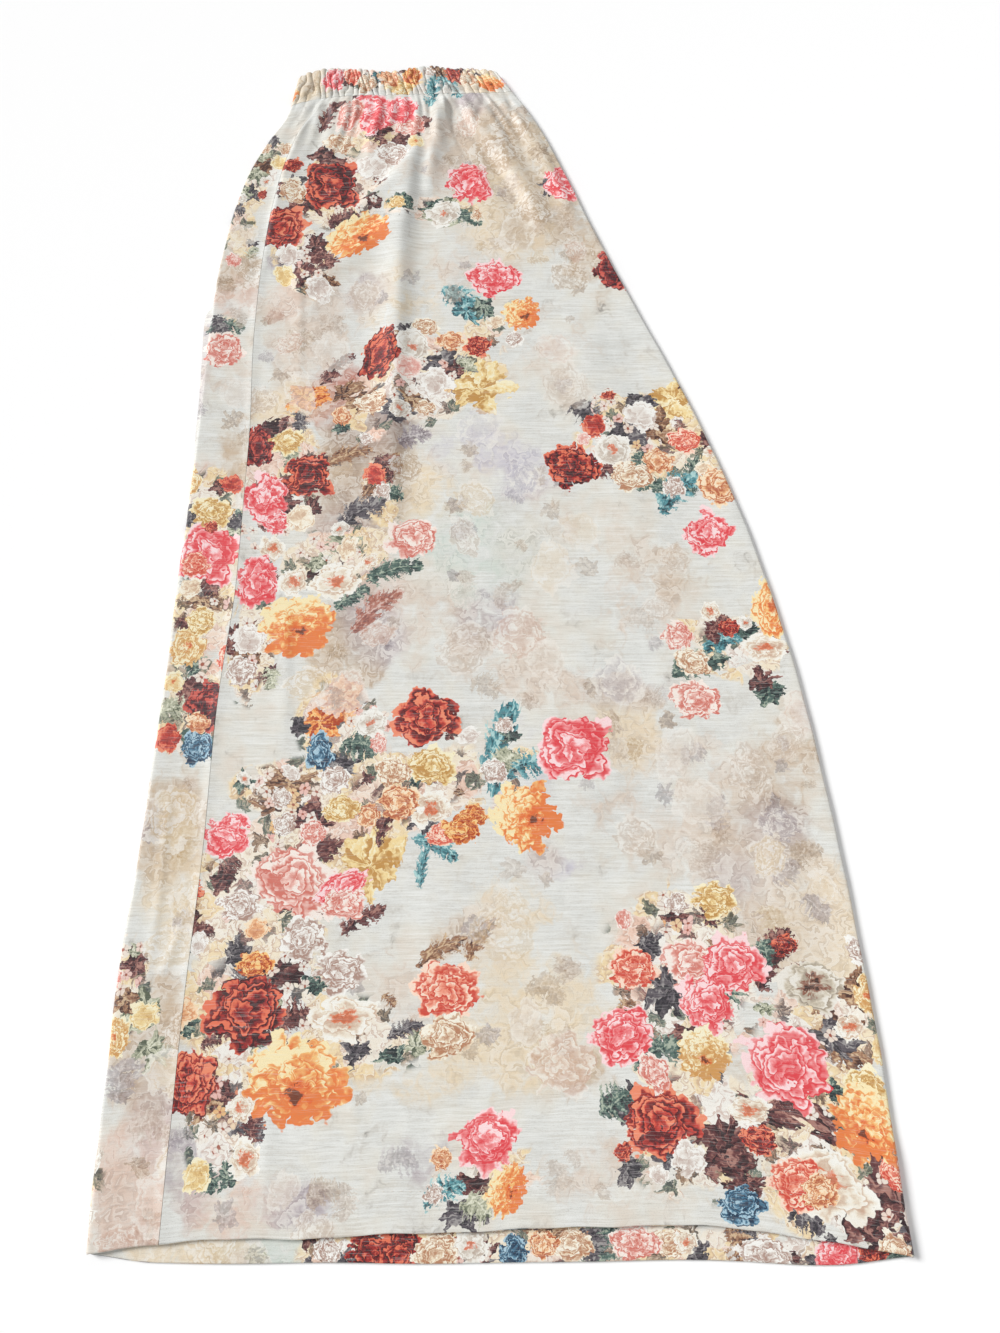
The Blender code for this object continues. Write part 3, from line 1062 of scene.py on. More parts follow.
def spot(dice, row, smallest, largest):
    """A motif at a random place in a field's ellipse."""
    turn = math.radians(row["turn"])
    out, angle = math.sqrt(dice.random()) * 1.05, dice.random() * TAU
    along, aside = out * row["wide"] * math.cos(angle), out * row["tall"] * math.sin(angle)
    return {
        "x": row["x"] + along * math.cos(turn) - aside * math.sin(turn),
        "down": row["down"] - along * math.sin(turn) - aside * math.cos(turn),
        "size": dice.uniform(smallest, largest),
        "squash": dice.uniform(0.7, 1.1),
        "turn": dice.uniform(-90, 90),
    }


def is_free(motif, others, share):
    """Whether a motif stays apart from the others by this share of their sizes."""
    x, down, size = (motif[name] for name in ("x", "down", "size"))
    return all(math.hypot(o["x"] - x, o["down"] - down) > share * (o["size"] + size) for o in others)


# Each area, in square millimetres, gets one try of a scattered motif. Sizes are from smallest to largest.
SMALL_AREA, SMALL_SIZES = 55, (13, 34)
STROKE_AREA, STROKE_SIZES = 110, (24, 58)
FADED_AREA, DRAPED_AREA, FADED_SIZES = 170, 600, (24, 56)
FADED_LEAF_AREA, FADED_LEAF_SIZES = 190, (12, 32)
SMALL_APART, FADED_APART, FADED_FROM_NAMED = 0.40, 0.30, 0.45
LEAF_CHANCE = 0.4


def crowded(seed, blooms, leaves, foliage, fillers, ghosts):
    """The tables of a print, with small flowers and leaves that crowd between the named ones."""
    dice = random.Random(seed)
    flowers, extra = [], []
    shown = blooms + [leaf for leaf in leaves if leaf["kind"] == "lily"]
    for row in foliage:
        for _ in tries(row, SMALL_AREA):
            motif = spot(dice, row, *SMALL_SIZES)
            if dice.random() < LEAF_CHANCE:
                kind = dice.choice(("burst", "burst", "feather"))
                extra.append(dict(motif, kind=kind, ink=dice.choice(SCATTERED_LEAVES), rank=1))
            elif is_free(motif, shown + flowers, SMALL_APART):
                kind = dice.choice(("rose", "open"))
                ink = dice.choice(SCATTERED_FLOWERS + ("ember", "daisy") * 2 * (kind == "open"))
                flowers.append(dict(motif, kind=kind, ink=ink, rank=1))
    return {"blooms": blooms + flowers, "leaves": leaves + extra, "foliage": foliage, "fillers": fillers,
            "ghosts": ghosts}


DRAPERY = ("rust", "umber")  # tints whose faded bouquets are long dark strokes, with few blooms
FADED = 2  # their rank: they come last, and the topmost layer is kept free of them


def faded(ghosts, blooms, seed):
    """The blooms and the leaves of the faded bouquets, in shades of their tint."""
    dice = random.Random(seed)
    flowers, leaves = [], []
    for row in ghosts:
        draped = row["tint"] in DRAPERY
        look = {"weight": 0.86 if draped else 0.24 + 0.42 * row["weight"], "rank": FADED}
        for _ in tries(row, STROKE_AREA) if draped else ():
            stroke = dict(spot(dice, row, *STROKE_SIZES), **look, tint=dice.choice(DRAPERY), kind="feather")
            leaves.append(dict(stroke, squash=0.45, turn=row["turn"] + dice.uniform(-20, 30)))
        for _ in tries(row, DRAPED_AREA if draped else FADED_AREA):
            tint = dice.choice((row["tint"], row["tint"], "beige", "sand", "rosy"))
            kind = dice.choice(("rose", "rose", "open"))
            motif = dict(spot(dice, row, *FADED_SIZES), **look, tint=tint, kind=kind)
            if is_free(motif, flowers, FADED_APART) and is_free(motif, blooms, FADED_FROM_NAMED):
                flowers.append(motif)
        for _ in tries(row, FADED_LEAF_AREA):
            tint = dice.choice((row["tint"], "tan", "umber" if draped else "beige", "mauve"))
            kind = dice.choice(("burst", "feather"))
            leaves.append(dict(spot(dice, row, *FADED_LEAF_SIZES), **look, tint=tint, kind=kind))
    return flowers, leaves


PRINTS = {
    "front": crowded(11, *(own + shifted(strip, *by) for own, strip, by in zip(FRONT, STRIP, STRIP_SHIFTS)),
                     *FRONT[3:]),
    "back": crowded(12, *map(with_repeat, STRIP, FRONT)),
    "band": crowded(13, *map(tripled, BAND)),
    "hem": crowded(14, *HEM),
}

LAYERS = 4  # of leaves, and of blooms
PARTS = {"place": 3, "deep": 4, "light": 4, "tip": 4}  # of a layer, and their channels
PIECE_STEP = 900  # between the pieces in the noise
MARGIN = 6.6  # how far a motif's frame goes on past it, more than one quad of any piece
FRAME_REACH = 1.15  # the motif's own reach in its frame, with its ragged edge
KIND_STEP = 10.0  # a motif's seed is below this, and its kind is counted in steps of it
SEED_STEPS = 10.0  # seeds in each unit


def turned(row, x, down):
    """Places along and aside of a turned row's own axes, from its middle."""
    turn = math.radians(row["turn"])
    right, up = x - row["x"], row["down"] - down
    return right * math.cos(turn) + up * math.sin(turn), up * math.cos(turn) - right * math.sin(turn)


def local_frame(motif, x, down):
    """A grid's places in a motif's own frame, where its radius is 1, and which of them are near it."""
    along, aside = turned(motif, x, down)
    length = motif["size"] / 2
    width = length * motif["squash"]
    reach = np.hypot(np.maximum(np.abs(along) - MARGIN, 0) / length,
                     np.maximum(np.abs(aside) - MARGIN, 0) / width)
    return along / length, aside / width, reach < FRAME_REACH


def widened(mask):
    """The mask and the ring of grid points round it."""
    grown = mask.copy()
    grown[1:] |= mask[:-1]
    grown[:-1] |= mask[1:]
    side = grown.copy()
    side[:, 1:] |= grown[:, :-1]
    side[:, :-1] |= grown[:, 1:]
    return side


def shades(motif):
    """The motif's ink. A faded bloom's is soft, and a faded leaf's a darker shade of its tint."""
    if "tint" not in motif:
        ink = INKS[motif["ink"]]
        return ink[:3], ink[3:6], ink[6:9], ink[9]
    tint, cream = np.array(TINTS[motif["tint"]]), np.array(CREAM)
    if motif["kind"] in LEAF_KINDS:
        return tint**2.3 * 0.75, tint * 0.80, tint * 0.50 + cream * 0.50, 0.0
    return tint**1.25 * 0.86, tint * 0.45 + cream * 0.55, CREAM, 0.0


def lay_out(motifs, kinds, x, down, seed):
    """Puts each motif in the first layer where it meets no other, as arrays over the grid: named motifs
    first, the larger ones lowest, and faded ones never in the topmost layer. The alphas say where there is
    a motif, how wide its eye is and how strongly it is printed."""
    dice = random.Random(seed)
    layers = [{part: np.zeros((*x.shape, channels)) for part, channels in PARTS.items()}
              for _ in range(LAYERS)]
    busy = np.zeros((LAYERS, *x.shape), bool)
    for motif in sorted(motifs, key=lambda motif: (motif.get("rank", 0), -motif["size"])):
        chance = (dice.randrange(90) + 0.5) / SEED_STEPS
        u, v, near = local_frame(motif, x, down)
        usable = LAYERS - (motif.get("rank") == FADED)
        free = [k for k in range(usable) if not (widened(busy[k]) & near).any()]
        if not near.any() or not free:
            continue
        layer = layers[free[0]]
        busy[free[0]] |= near
        deep, light, tip, eye = shades(motif)
        seeds = np.full(x.shape, chance + KIND_STEP * kinds.index(motif["kind"]))
        layer["place"][near] = np.stack((u, v, seeds), -1)[near]
        layer["deep"][near] = (*deep, 1.0)
        layer["light"][near] = (*light, eye)
        layer["tip"][near] = (*tip, motif.get("weight", 1.0))
    return layers, busy


def field(ellipses, x, down):
    """The strongest of soft ellipses at each place, from 0 to 1."""
    best = np.zeros(x.shape)
    for row in ellipses:
        along, aside = turned(row, x, down)
        away = np.hypot(along / row["wide"], aside / row["tall"])
        best = np.maximum(best, row["weight"] * (1 - smooth(0.45, 1.25, away)))
    return best


def tint_field(ghosts, x, down):
    """Colour and strength of the faded bouquets, blended where they meet."""
    colour = np.zeros((*x.shape, 3))
    total = np.full(x.shape, 1e-6)
    fade = np.ones(x.shape)
    for row in ghosts:
        weight = field([row], x, down)
        colour += np.array(TINTS[row["tint"]]) * weight[..., None]
        total += weight
        fade *= 1 - weight
    return np.concatenate((colour / total[..., None], (1 - fade)[..., None]), -1)


def set_attributes(mesh, grids):
    """Writes grids of vectors or colours on the outer and the inner side of a shell."""
    for name, grid in grids.items():
        mesh.attributes.new(name, "FLOAT_VECTOR" if grid.shape[-1] == 3 else "FLOAT_COLOR", "POINT")
    for name, grid in grids.items():
        flat = grid.reshape(-1, grid.shape[-1])
        doubled = np.concatenate((flat, flat)).astype(np.float32)
        data = mesh.attributes[name].data
        data.foreach_set("vector" if grid.shape[-1] == 3 else "color", doubled.ravel())


def print_on(obj, side, x, down, seed):
    """Gives a shell its print: motif frames, fields and, face by face, the plainest material that will do."""
    chosen = PRINTS[side]
    mesh = obj.data
    faded_blooms, faded_leaves = faded(chosen["ghosts"], chosen["blooms"], seed)
    leaves, leaf_busy = lay_out(chosen["leaves"] + faded_leaves, LEAF_KINDS, x, down, seed)
    blooms, bloom_busy = lay_out(chosen["blooms"] + faded_blooms, KINDS, x, down, seed + 1)
    foliage, fillers = (field(chosen[name], x, down) for name in ("foliage", "fillers"))
    grids = {"print": np.stack((x + PIECE_STEP * seed, -down, 0 * x), -1),
             "tint": tint_field(chosen["ghosts"], x, down),
             "thicket": np.stack((foliage, fillers, 0 * x), -1)}
    for kind, layers in (("leaf", leaves), ("bloom", blooms)):
        for k, layer in enumerate(layers):
            grids |= {f"{kind}{k}_{part}": grid for part, grid in layer.items()}
    set_attributes(mesh, grids)
    level = np.where(foliage + fillers > 0, 2, 0)
    for k, busy in enumerate(leaf_busy | bloom_busy):
        level = np.where(widened(busy), np.maximum(level, k + 1), level)
    corner = np.maximum.reduce((level[:-1, :-1], level[1:, :-1], level[:-1, 1:], level[1:, 1:])).ravel()
    rim = np.full(len(mesh.polygons) - 2 * len(corner), level.max())
    for material in SATINS:
        mesh.materials.append(material)
    mesh.polygons.foreach_set("material_index", np.concatenate((corner, corner, rim)).astype(np.int32))
    mesh.update()


# ---------------------------------------------------------------- shader nodes, written as arithmetic


def numeric(operation):
    """A method of Wire that adds a math node."""
    return lambda wire, *others: wire.math(operation, *others)


def spatial(operation):
    """A method of Wire that adds a vector math node."""
    return lambda wire, *others: wire.vector(operation, *others)


class Wire:
    """What comes out of a shader node's socket. Arithmetic on it adds nodes."""

    def __init__(self, socket):
        self.socket = socket
        self.tree = socket.id_data

    def math(self, operation, *others, clamp=False):
        return wire(self.tree, "Math", enumerate((self, *others)), operation=operation, use_clamp=clamp)

    def vector(self, operation, *others, output=0):
        return wire(self.tree, "VectorMath", enumerate((self, *others)), output, operation=operation)

    def less_from(self, number):
        """number minus this"""
        return self.math("MULTIPLY_ADD", -1.0, number)

    def clamped(self):
        return self.math("ADD", 0.0, clamp=True)

    def length(self):
        return self.vector("LENGTH", output="Value")

    def parts(self):
        return [Wire(output) for output in add_node(self.tree, "SeparateXYZ", {0: self}).outputs]

    def channels(self):
        return [Wire(output) for output in add_node(self.tree, "SeparateColor", {0: self}).outputs]

    __add__ = numeric("ADD")
    __sub__ = numeric("SUBTRACT")
    __mul__ = numeric("MULTIPLY")
    __truediv__ = numeric("DIVIDE")
    __lt__ = numeric("LESS_THAN")
    __gt__ = numeric("GREATER_THAN")
    __abs__ = numeric("ABSOLUTE")
    floor = numeric("FLOOR")
    fraction = numeric("FRACT")
    root = numeric("SQRT")
    least = numeric("MINIMUM")
    most = numeric("MAXIMUM")
    turn_from = numeric("ARCTAN2")
    plus = spatial("ADD")
    minus = spatial("SUBTRACT")
    times = spatial("MULTIPLY")


def plug(slot, value):
    if isinstance(value, Wire):
        value.tree.links.new(value.socket, slot)
    elif slot.type == "RGBA" and len(value) == 3:
        slot.default_value = (*value, 1.0)
    else:
        slot.default_value = value


def fill(node, inputs):
    """Sets or links a node's inputs, by name or number."""
    for name, value in dict(inputs).items():
        plug(node.inputs[name], value)


def add_node(tree, kind, inputs=(), **settings):
    node = tree.nodes.new("ShaderNode" + kind)
    for name, value in settings.items():
        setattr(node, name, value)
    fill(node, inputs)
    return node


def wire(tree, kind, inputs=(), output=0, **settings):
    """What comes out of a new node."""
    return Wire(add_node(tree, kind, inputs, **settings).outputs[output])


def combine(x, y, z=0.0):
    return wire(x.tree, "CombineXYZ", enumerate((x, y, z)))


def step(value, low, high, to_low=0.0, to_high=1.0):
    """A smooth step from to_low to to_high as value goes from low to high."""
    inputs = {"Value": value, "From Min": low, "From Max": high, "To Min": to_low, "To Max": to_high}
    return wire(value.tree, "MapRange", inputs, "Result", interpolation_type="SMOOTHSTEP")


def blend(first, second, share):
    """Colour: first where share is 0, second where it is 1."""
    tree = next(value.tree for value in (share, first, second) if isinstance(value, Wire))
    return wire(tree, "Mix", {0: share, 6: first, 7: second}, 2, data_type="RGBA")


def between(first, second, share):
    """Number: first where share is 0, second where it is 1."""
    return first + (second - first) * share


def noise(at, scale, detail=1.0, roughness=0.5, output="Fac"):
    """Noise across the cloth."""
    inputs = {"Vector": at, "Scale": scale, "Detail": detail, "Roughness": roughness}
    return wire(at.tree, "TexNoise", inputs, output, noise_dimensions="2D")


def shift(at, scale, amount, detail=1.0):
    """A small irregular displacement across the cloth, as two numbers, and a third number from 0 to 1."""
    x, y, other = noise(at, scale, detail, output="Color").channels()
    return x * amount - amount / 2, y * amount - amount / 2, other


def streaks(at):
    """Noise along a line."""
    inputs = {"W": at, "Scale": 1.0, "Roughness": 0.6}
    return wire(at.tree, "TexNoise", inputs, "Fac", noise_dimensions="1D")


def far(x, y):
    """How far a place is from the middle."""
    return (x * x + y * y).root()


def white(number):
    """A chance for each whole number."""
    return wire(number.tree, "TexWhiteNoise", {"W": number}, "Value", noise_dimensions="1D")


def scatter(at, size):
    """Scattered cells of about this size: the distance to a cell's middle, the cell's chance and middle."""
    node = add_node(at.tree, "TexVoronoi", {"Vector": at, "Scale": 1 / size}, voronoi_dimensions="2D")
    distance, colour, middle = (Wire(node.outputs[name]) for name in ("Distance", "Color", "Position"))
    return distance, colour.channels()[0], middle


def cells(at, size):
    """A place in its scattered cell's own frame, with the cell's chance as z, and that chance."""
    _, chance, middle = scatter(at, size)
    x, y, _ = at.minus(middle).times((2 / size, 2 / size, 0.0)).parts()
    return combine(x, y, chance * 9.0), chance


def petalled(at, size):
    """Loose rosettes of about this size. Gives how far out a place lies on its petal, from 0 where it is
    tucked under the next petal to 1 at its own edge, and the rosette's chance."""
    distance, chance, _ = scatter(at, size)
    return (distance * 2.2 + noise(at, 3.0 / size, 2.0, 0.6) * 2.6).fraction(), chance


def ramp(value, *stops):
    """Colour from a number, through stops of a place and a colour."""
    node = add_node(value.tree, "ValToRGB", {"Fac": value})
    band = node.color_ramp
    while len(band.elements) < len(stops):
        band.elements.new(0.5)
    for element, (place, *colour) in zip(band.elements, stops):
        element.position = place
        element.color = (*colour, 1.0)
    return Wire(node.outputs["Color"])


SOCKETS = {"vector": "NodeSocketVector", "colour": "NodeSocketColor", "number": "NodeSocketFloat"}


def new_group(name, **inputs):
    """A node group that takes these inputs and gives a colour and how far it covers what is below."""
    group = bpy.data.node_groups.new(name, "ShaderNodeTree")
    for title, kind in inputs.items():
        group.interface.new_socket(title, in_out="INPUT", socket_type=SOCKETS[kind])
    for title, kind in (("colour", "colour"), ("cover", "number")):
        group.interface.new_socket(title, in_out="OUTPUT", socket_type=SOCKETS[kind])
    start = group.nodes.new("NodeGroupInput")
    return group, [Wire(start.outputs[title]) for title in inputs]


def end_group(group, colour, cover):
    fill(group.nodes.new("NodeGroupOutput"), {"colour": colour, "cover": cover})


def place_after(place, number):
    """The same place, worked out only after this number from 0 up, which keeps few results waiting."""
    return place.plus(combine(number.least(0.0), 0.0))


def use_group(tree, group, *values):
    node = add_node(tree, "Group", enumerate(values), node_tree=group)
    return Wire(node.outputs["colour"]), Wire(node.outputs["cover"])


# ---------------------------------------------------------------- flowers and leaves

# The rings of petals of a bloom: radius, petals, start of the turn.
RINGS = ((1.00, 8, 0.13), (0.84, 7, 0.55), (0.67, 6, 0.21), (0.50, 5, 0.71), (0.33, 4, 0.37))
STAMEN = (0.72, 0.13, 0.03)
PUPIL = (0.03, 0.014, 0.012)


def read_place(place):
    """A place in a motif's frame, as x and y, then the motif's seed, a place in noise of its own, and
    whether it is of the first, the second or the third kind."""
    x, y, code = place.parts()
    kind = (code / KIND_STEP).floor()
    seed = ((code - kind * KIND_STEP) * SEED_STEPS).floor() / SEED_STEPS
    is_first = kind < 0.5
    is_third = (kind < 1.5).less_from(1.0)
    is_second = (is_first + is_third).less_from(1.0)
    return x, y, seed, combine(x + seed * 13.7, y + seed * 5.1), (is_first, is_second, is_third)


def bloom_group():
    """A bloom seen from above. Its kind (rose, poppy or open flower) is counted in the tens of its seed."""
    group, (place, deep, light, tip, eye) = new_group(
        "bloom", place="vector", deep="colour", light="colour", tip="colour", eye="number")
    x, y, seed, at, (_, is_poppy, is_open) = read_place(place)
    wide_x, wide_y, patches = shift(at, 1.7, 0.42, 0.0)
    fine_x, fine_y, grain = shift(at, 5.5, 0.30)
    calm = is_poppy * -0.55 + 1.0
    px, py = x + wide_x * calm + fine_x, y + wide_y * calm + fine_y
    radius = far(px, py)
    turn = py.turn_from(px) * (1 / TAU)
    shade, cover = None, None
    for k, (ring, petals, start) in enumerate(RINGS):
        count = (is_poppy * (petals * 0.5 + 1.0) + petals - is_open * (petals - 5.0)).math("ROUND")
        along = turn * count + (seed * (1.37 + k) + start * 3)
        chance = white(along.floor() + (seed * 7.3 + k * 17.0))
        across = along.fraction() - 0.5
        lobe = (across * across * 3.6).less_from(1.0).most(0.0).root()
        reach = lobe * (ring * 0.28) + (chance - 0.5) * (ring * 0.28) + ring * 0.72
        if k >= 1:
            reach = reach * (is_open.less_from(1.0) + is_open * (0.86 if k == 1 else 0.0)) + 0.0001
        rho = radius / reach
        lift = step(rho, 0.66 if k < 4 else 0.0, 0.97)
        value = lift * 0.66 + across * 0.50 + (chance - 0.5) * 0.50 + 0.13
        inside = step(rho, 1.0, 0.965)
        if shade is None:
            shade, cover = value, inside
        else:
            shade = between(shade * step(rho, 1.0, 1.18, 0.15, 1.0), value, inside)
    veins = streaks(turn * 30.0 + radius * 1.5 + seed * 9.0) - 0.5
    patches = patches - 0.5
    shade = shade + veins * 0.60 + py * 0.14 - px * 0.10 + patches * 0.55 + (grain - 0.5) * 0.35
    two_tone = py * 0.62 + (grain - 0.5) * 0.9 + veins * 0.5 + shade * 0.85 - 0.02
    shade = between(shade, two_tone, is_poppy)
    shade = between(shade, shade * 0.50 + 0.44, is_open).clamped()
    colour = blend(deep, light, step(shade, 0.06, 0.40) * 0.45 + step(shade, 0.36, 0.72) * 0.55)
    colour = blend(colour, tip, step(shade + patches * 0.3 + radius * 0.10, 0.62, 1.0) * 0.92)
    has_eye = eye > 0.02
    is_dark = eye > 0.5
    heart = far(px, py + is_poppy * 0.25) / (eye - is_dark * 0.5 + 0.0001)
    heart = heart + (grain - 0.5) * 2.4 + veins * 2.2
    colour = blend(colour, blend(STAMEN, PUPIL, is_dark * 0.7), has_eye * step(heart, 2.0, 1.1) * 0.82)
    dark_share = (is_poppy * 0.55 + 0.25).most(is_dark * 0.9)
    colour = blend(colour, PUPIL, has_eye * step(heart, 1.0, 0.6) * dark_share)
    end_group(group, colour, cover)


def leaf_group():
    """A burst of leaves, one feathered leaf, or a lily with pointed petals."""
    group, (place, deep, light, tip) = new_group(
        "leaf", place="vector", deep="colour", light="colour", tip="colour")
    x, y, seed, at, (_, is_feather, is_lily) = read_place(place)
    ragged_x, ragged_y, grain = shift(at, 6.0, 0.26)
    bend_x, bend_y, patches = shift(at, 1.3, 0.6, 0.0)
    fx, fy = x + ragged_x, y + ragged_y + bend_y
    px, py = fx + bend_x, fy
    radius = far(px, py)
    turn = py.turn_from(px) * (1 / TAU)
    cover, shade = None, None
    for k, (leaves, size) in enumerate(((7, 1.0), (5, 0.8))):
        count = is_lily * (6.0 - leaves) + leaves
        along = turn * count + (seed * 3.1 + k * 0.37)
        chance = white(along.floor() + (seed * 5.9 + k * 31.0))
        across = along.fraction() - 0.5
        reach = chance * 0.5 * size + 0.5 * size + is_lily * (0.3 * size)
        rho = (radius / reach).least(1.0)
        width = rho.less_from(1.0) * (rho + 0.12) * (is_lily * 0.55 + 0.70)
        side = across * radius * TAU / count
        inside = step(abs(side) / (width + 0.0001), 1.0, 0.9) * (rho < 0.995)
        rib = step(abs(side), 0.035, 0.012)
        value = across * 0.9 + (chance - 0.5) * 0.5 + rib * 0.35 + 0.35
        if cover is None:
            cover, shade = inside, value
        else:
            shade = between(shade, value, inside)
            cover = cover.most(inside)
    # one long leaf: a bent rib, with lobes of uneven length to either side
    bent = fy + fx * fx * 0.35 - 0.15
    lobes = streaks(fx * 5.0 - abs(bent) * 1.5 + (bent > 0.0) * 3.7 + seed * 5.0)
    half_width = (fx * fx).less_from(1.0).most(0.0).root() * (lobes * 2.2 - 0.35) + 0.0001
    feather = step(abs(bent) / half_width, 1.0, 0.90) * (half_width > 0.001)
    feather_shade = lobes * 1.6 - 0.35 + step(abs(bent), 0.09, 0.02) * 0.35 + (bent > 0.0) * 0.15
    shade = between(shade, feather_shade, is_feather)
    cover = between(cover, feather, is_feather)
    shade = (shade + grain * 0.9 + patches * 0.6 - 0.75).clamped()
    colour = blend(deep, light, step(shade, 0.1, 0.65))
    end_group(group, blend(colour, tip, step(shade, 0.62, 1.0) * 0.9), cover)


def filler_group():
    """Scattered small flowers of five petals in white, pink and cream."""
    group, (at, weight) = new_group("filler", at="vector", weight="number")
    place, chance = cells(at, 13.0)
    x, y, seed = place.parts()
    radius = combine(x, y).length()
    across = (y.turn_from(x) * (5 / TAU) + seed).fraction() - 0.5
    reach = (across * across * 3.4).less_from(1.0).most(0.0).root() * 0.48 + 0.30
    petal = step(radius / reach, 1.0, 0.9)
    colour = ramp(chance, (0.0, 0.80, 0.77, 0.70), (0.35, 0.82, 0.70, 0.60), (0.55, 0.80, 0.45, 0.40),
                  (0.72, 0.84, 0.80, 0.72), (0.86, 0.80, 0.52, 0.24), (1.0, 0.70, 0.20, 0.12))
    colour = blend(colour, (0.30, 0.12, 0.10), step(abs(across), 0.30, 0.5) * 0.6)
    colour = blend(colour, (0.34, 0.08, 0.04), step(radius, 0.22, 0.12))
    grown = (chance * 0.61 + 0.2 < weight * 1.15)
    end_group(group, colour, petal * grown)


def printed_colour(tree, level):
    """The print's colour and its streaks. The level is the number of layers of leaves and of blooms. From
    2 on, the pale ground has foliage and fillers too."""
    bloom, leaf, filler = (bpy.data.node_groups[name] for name in ("bloom", "leaf", "filler"))

    def attribute(name, output="Vector"):
        return wire(tree, "Attribute", output=output, attribute_name=name)

    at = attribute("print")
    along, down, _ = at.parts()
    rough_x, rough_y, _ = shift(at, 0.09, 1.0)

    def roughened(amount):
        return at.plus(combine(rough_x * amount, rough_y * amount))

    def painted_over(colour, cover, group, k):
        """The colour under the group's layer k of motifs, and how far these cover it."""
        name = f"{group.name}{k}"
        place = place_after(attribute(name + "_place"), cover)
        inks = [attribute(f"{name}_{part}", "Color") for part in ("deep", "light", "tip")]
        if group == bloom:
            inks.append(attribute(name + "_light", "Alpha"))
        painted, cover = use_group(tree, group, place, *inks)
        mask = step(attribute(name + "_deep", "Alpha"), 0.97, 0.999)
        return blend(colour, painted, cover * mask * attribute(name + "_tip", "Alpha")), cover

    # the pale ground: cool and warm clouds, brushed level streaks and thin broken lines
    clouds = noise(at, 0.016, 3.0, 0.65)
    colour = ramp(clouds, (0.32, 0.69, 0.70, 0.67), (0.46, 0.73, 0.735, 0.70),
                  (0.56, 0.73, 0.72, 0.66), (0.72, 0.71, 0.645, 0.56))
    brushed = noise(combine(along * 0.024, down * 0.62), 1.0, 3.0, 0.78)
    colour = blend(colour, (0.50, 0.46, 0.39), step(brushed, 0.51, 0.74) * 0.45)
    colour = blend(colour, (0.87, 0.88, 0.86), step(brushed, 0.47, 0.26) * 0.50)
    thin = step(abs(brushed - 0.55), 0.014, 0.0) * step(clouds, 0.66, 0.46)
    colour = blend(colour, (0.28, 0.25, 0.22), thin * 0.55)
    # faded bouquets: a stain with loose petals in it
    tint, strength = attribute("tint", "Color"), attribute("tint", "Alpha")
    blotch = noise(roughened(14.0), 0.045, 4.0, 0.62)
    colour = blend(colour, (0.55, 0.49, 0.41), step(blotch, 0.50, 0.72) * 0.30)
    colour = blend(colour, (0.82, 0.83, 0.80), step(blotch, 0.46, 0.30) * 0.30)
    colour = blend(colour, tint, step(strength * 0.85 + (blotch - 0.5) * 1.4, 0.10, 0.80) * 0.60)
    lap, chance = petalled(roughened(13.0), 26.0)
    petals = blend(blend(tint, (0.10, 0.05, 0.05), 0.30), tint, step(lap, 0.0, 0.45))
    petals = blend(petals, CREAM, step(lap + (chance - 0.5) * 0.6, 0.25, 1.20) * 0.66)
    seen = step(strength + (chance - 0.5) * 0.4 + (blotch - 0.5) * 2.0, 0.25, 0.95)
    colour = blend(colour, petals, seen * 0.66)
    cover = seen
    if level > 1:
        # the bouquets' ground: pale petals with dark leaves between them
        foliage, fillers, _ = attribute("thicket").parts()
        lap, chance = petalled(roughened(8.0), 21.0)
        light = ramp(chance, (0.20, 0.86, 0.83, 0.77), (0.36, 0.85, 0.72, 0.50), (0.48, 0.84, 0.78, 0.68),
                     (0.58, 0.83, 0.56, 0.44), (0.70, 0.86, 0.80, 0.66), (0.82, 0.84, 0.66, 0.38))
        petals = blend(blend(light, (0.42, 0.20, 0.13), 0.55), light, step(lap, 0.0, 0.45))
        petals = blend(petals, (0.90, 0.88, 0.82), step(lap, 0.55, 1.0) * 0.55)
        dense = step(foliage, 0.03, 0.18)
        grown = dense * step(foliage * 1.25 + (chance - 0.5) * 0.7 + (blotch - 0.5) * 0.8, 0.34, 0.52)
        colour = blend(colour, petals, grown * 0.90)
        place, chance = cells(roughened(9.0), 20.0)
        deep = ramp(chance, (0.2, 0.035, 0.012, 0.016), (0.4, 0.02, 0.02, 0.026),
                    (0.6, 0.045, 0.02, 0.012), (0.8, 0.012, 0.03, 0.028))
        light = ramp(chance, (0.2, 0.22, 0.06, 0.06), (0.4, 0.12, 0.11, 0.12),
                     (0.6, 0.30, 0.15, 0.08), (0.8, 0.13, 0.18, 0.13))
        painted, cover = use_group(tree, leaf, place_after(place, seen), deep, light, (0.55, 0.42, 0.32))
        grown = dense * step(foliage * 1.2 + (chance - 0.5) * 0.9, 0.37, 0.57)
        colour = blend(colour, painted, cover * grown * 0.90)
    for k in range(level):
        colour, cover = painted_over(colour, cover, leaf, k)
    if level > 1:
        painted, cover = use_group(tree, filler, place_after(roughened(5.0), cover), fillers)
        colour = blend(colour, painted, cover * 0.95)
    for k in range(level):
        colour, cover = painted_over(colour, cover, bloom, k)
    # slubs: thicker threads across the cloth, on which the print is paler
    slubs = noise(combine(along * 0.045, down * 1.15), 1.0, 2.0, 0.7)
    colour = blend(colour, (0.78, 0.78, 0.75), step(slubs, 0.52, 0.78) * 0.24)
    colour = blend(colour, (0.30, 0.26, 0.22), step(slubs, 0.42, 0.20) * 0.22)
    weave = noise(combine(along * 1.3, down * 1.9), 1.0)
    colour = blend(colour, (0.25, 0.22, 0.19), step(weave, 0.50, 0.80) * 0.22)
    return colour, slubs, weave


def new_material(name, **inputs):
    """A material whose Principled shader has these inputs, with _ for each space in their names."""
    material = bpy.data.materials.new(name)
    material.use_nodes = True
    shader = material.node_tree.nodes["Principled BSDF"]
    fill(shader, {title.replace("_", " "): value for title, value in inputs.items()})
    return material, shader


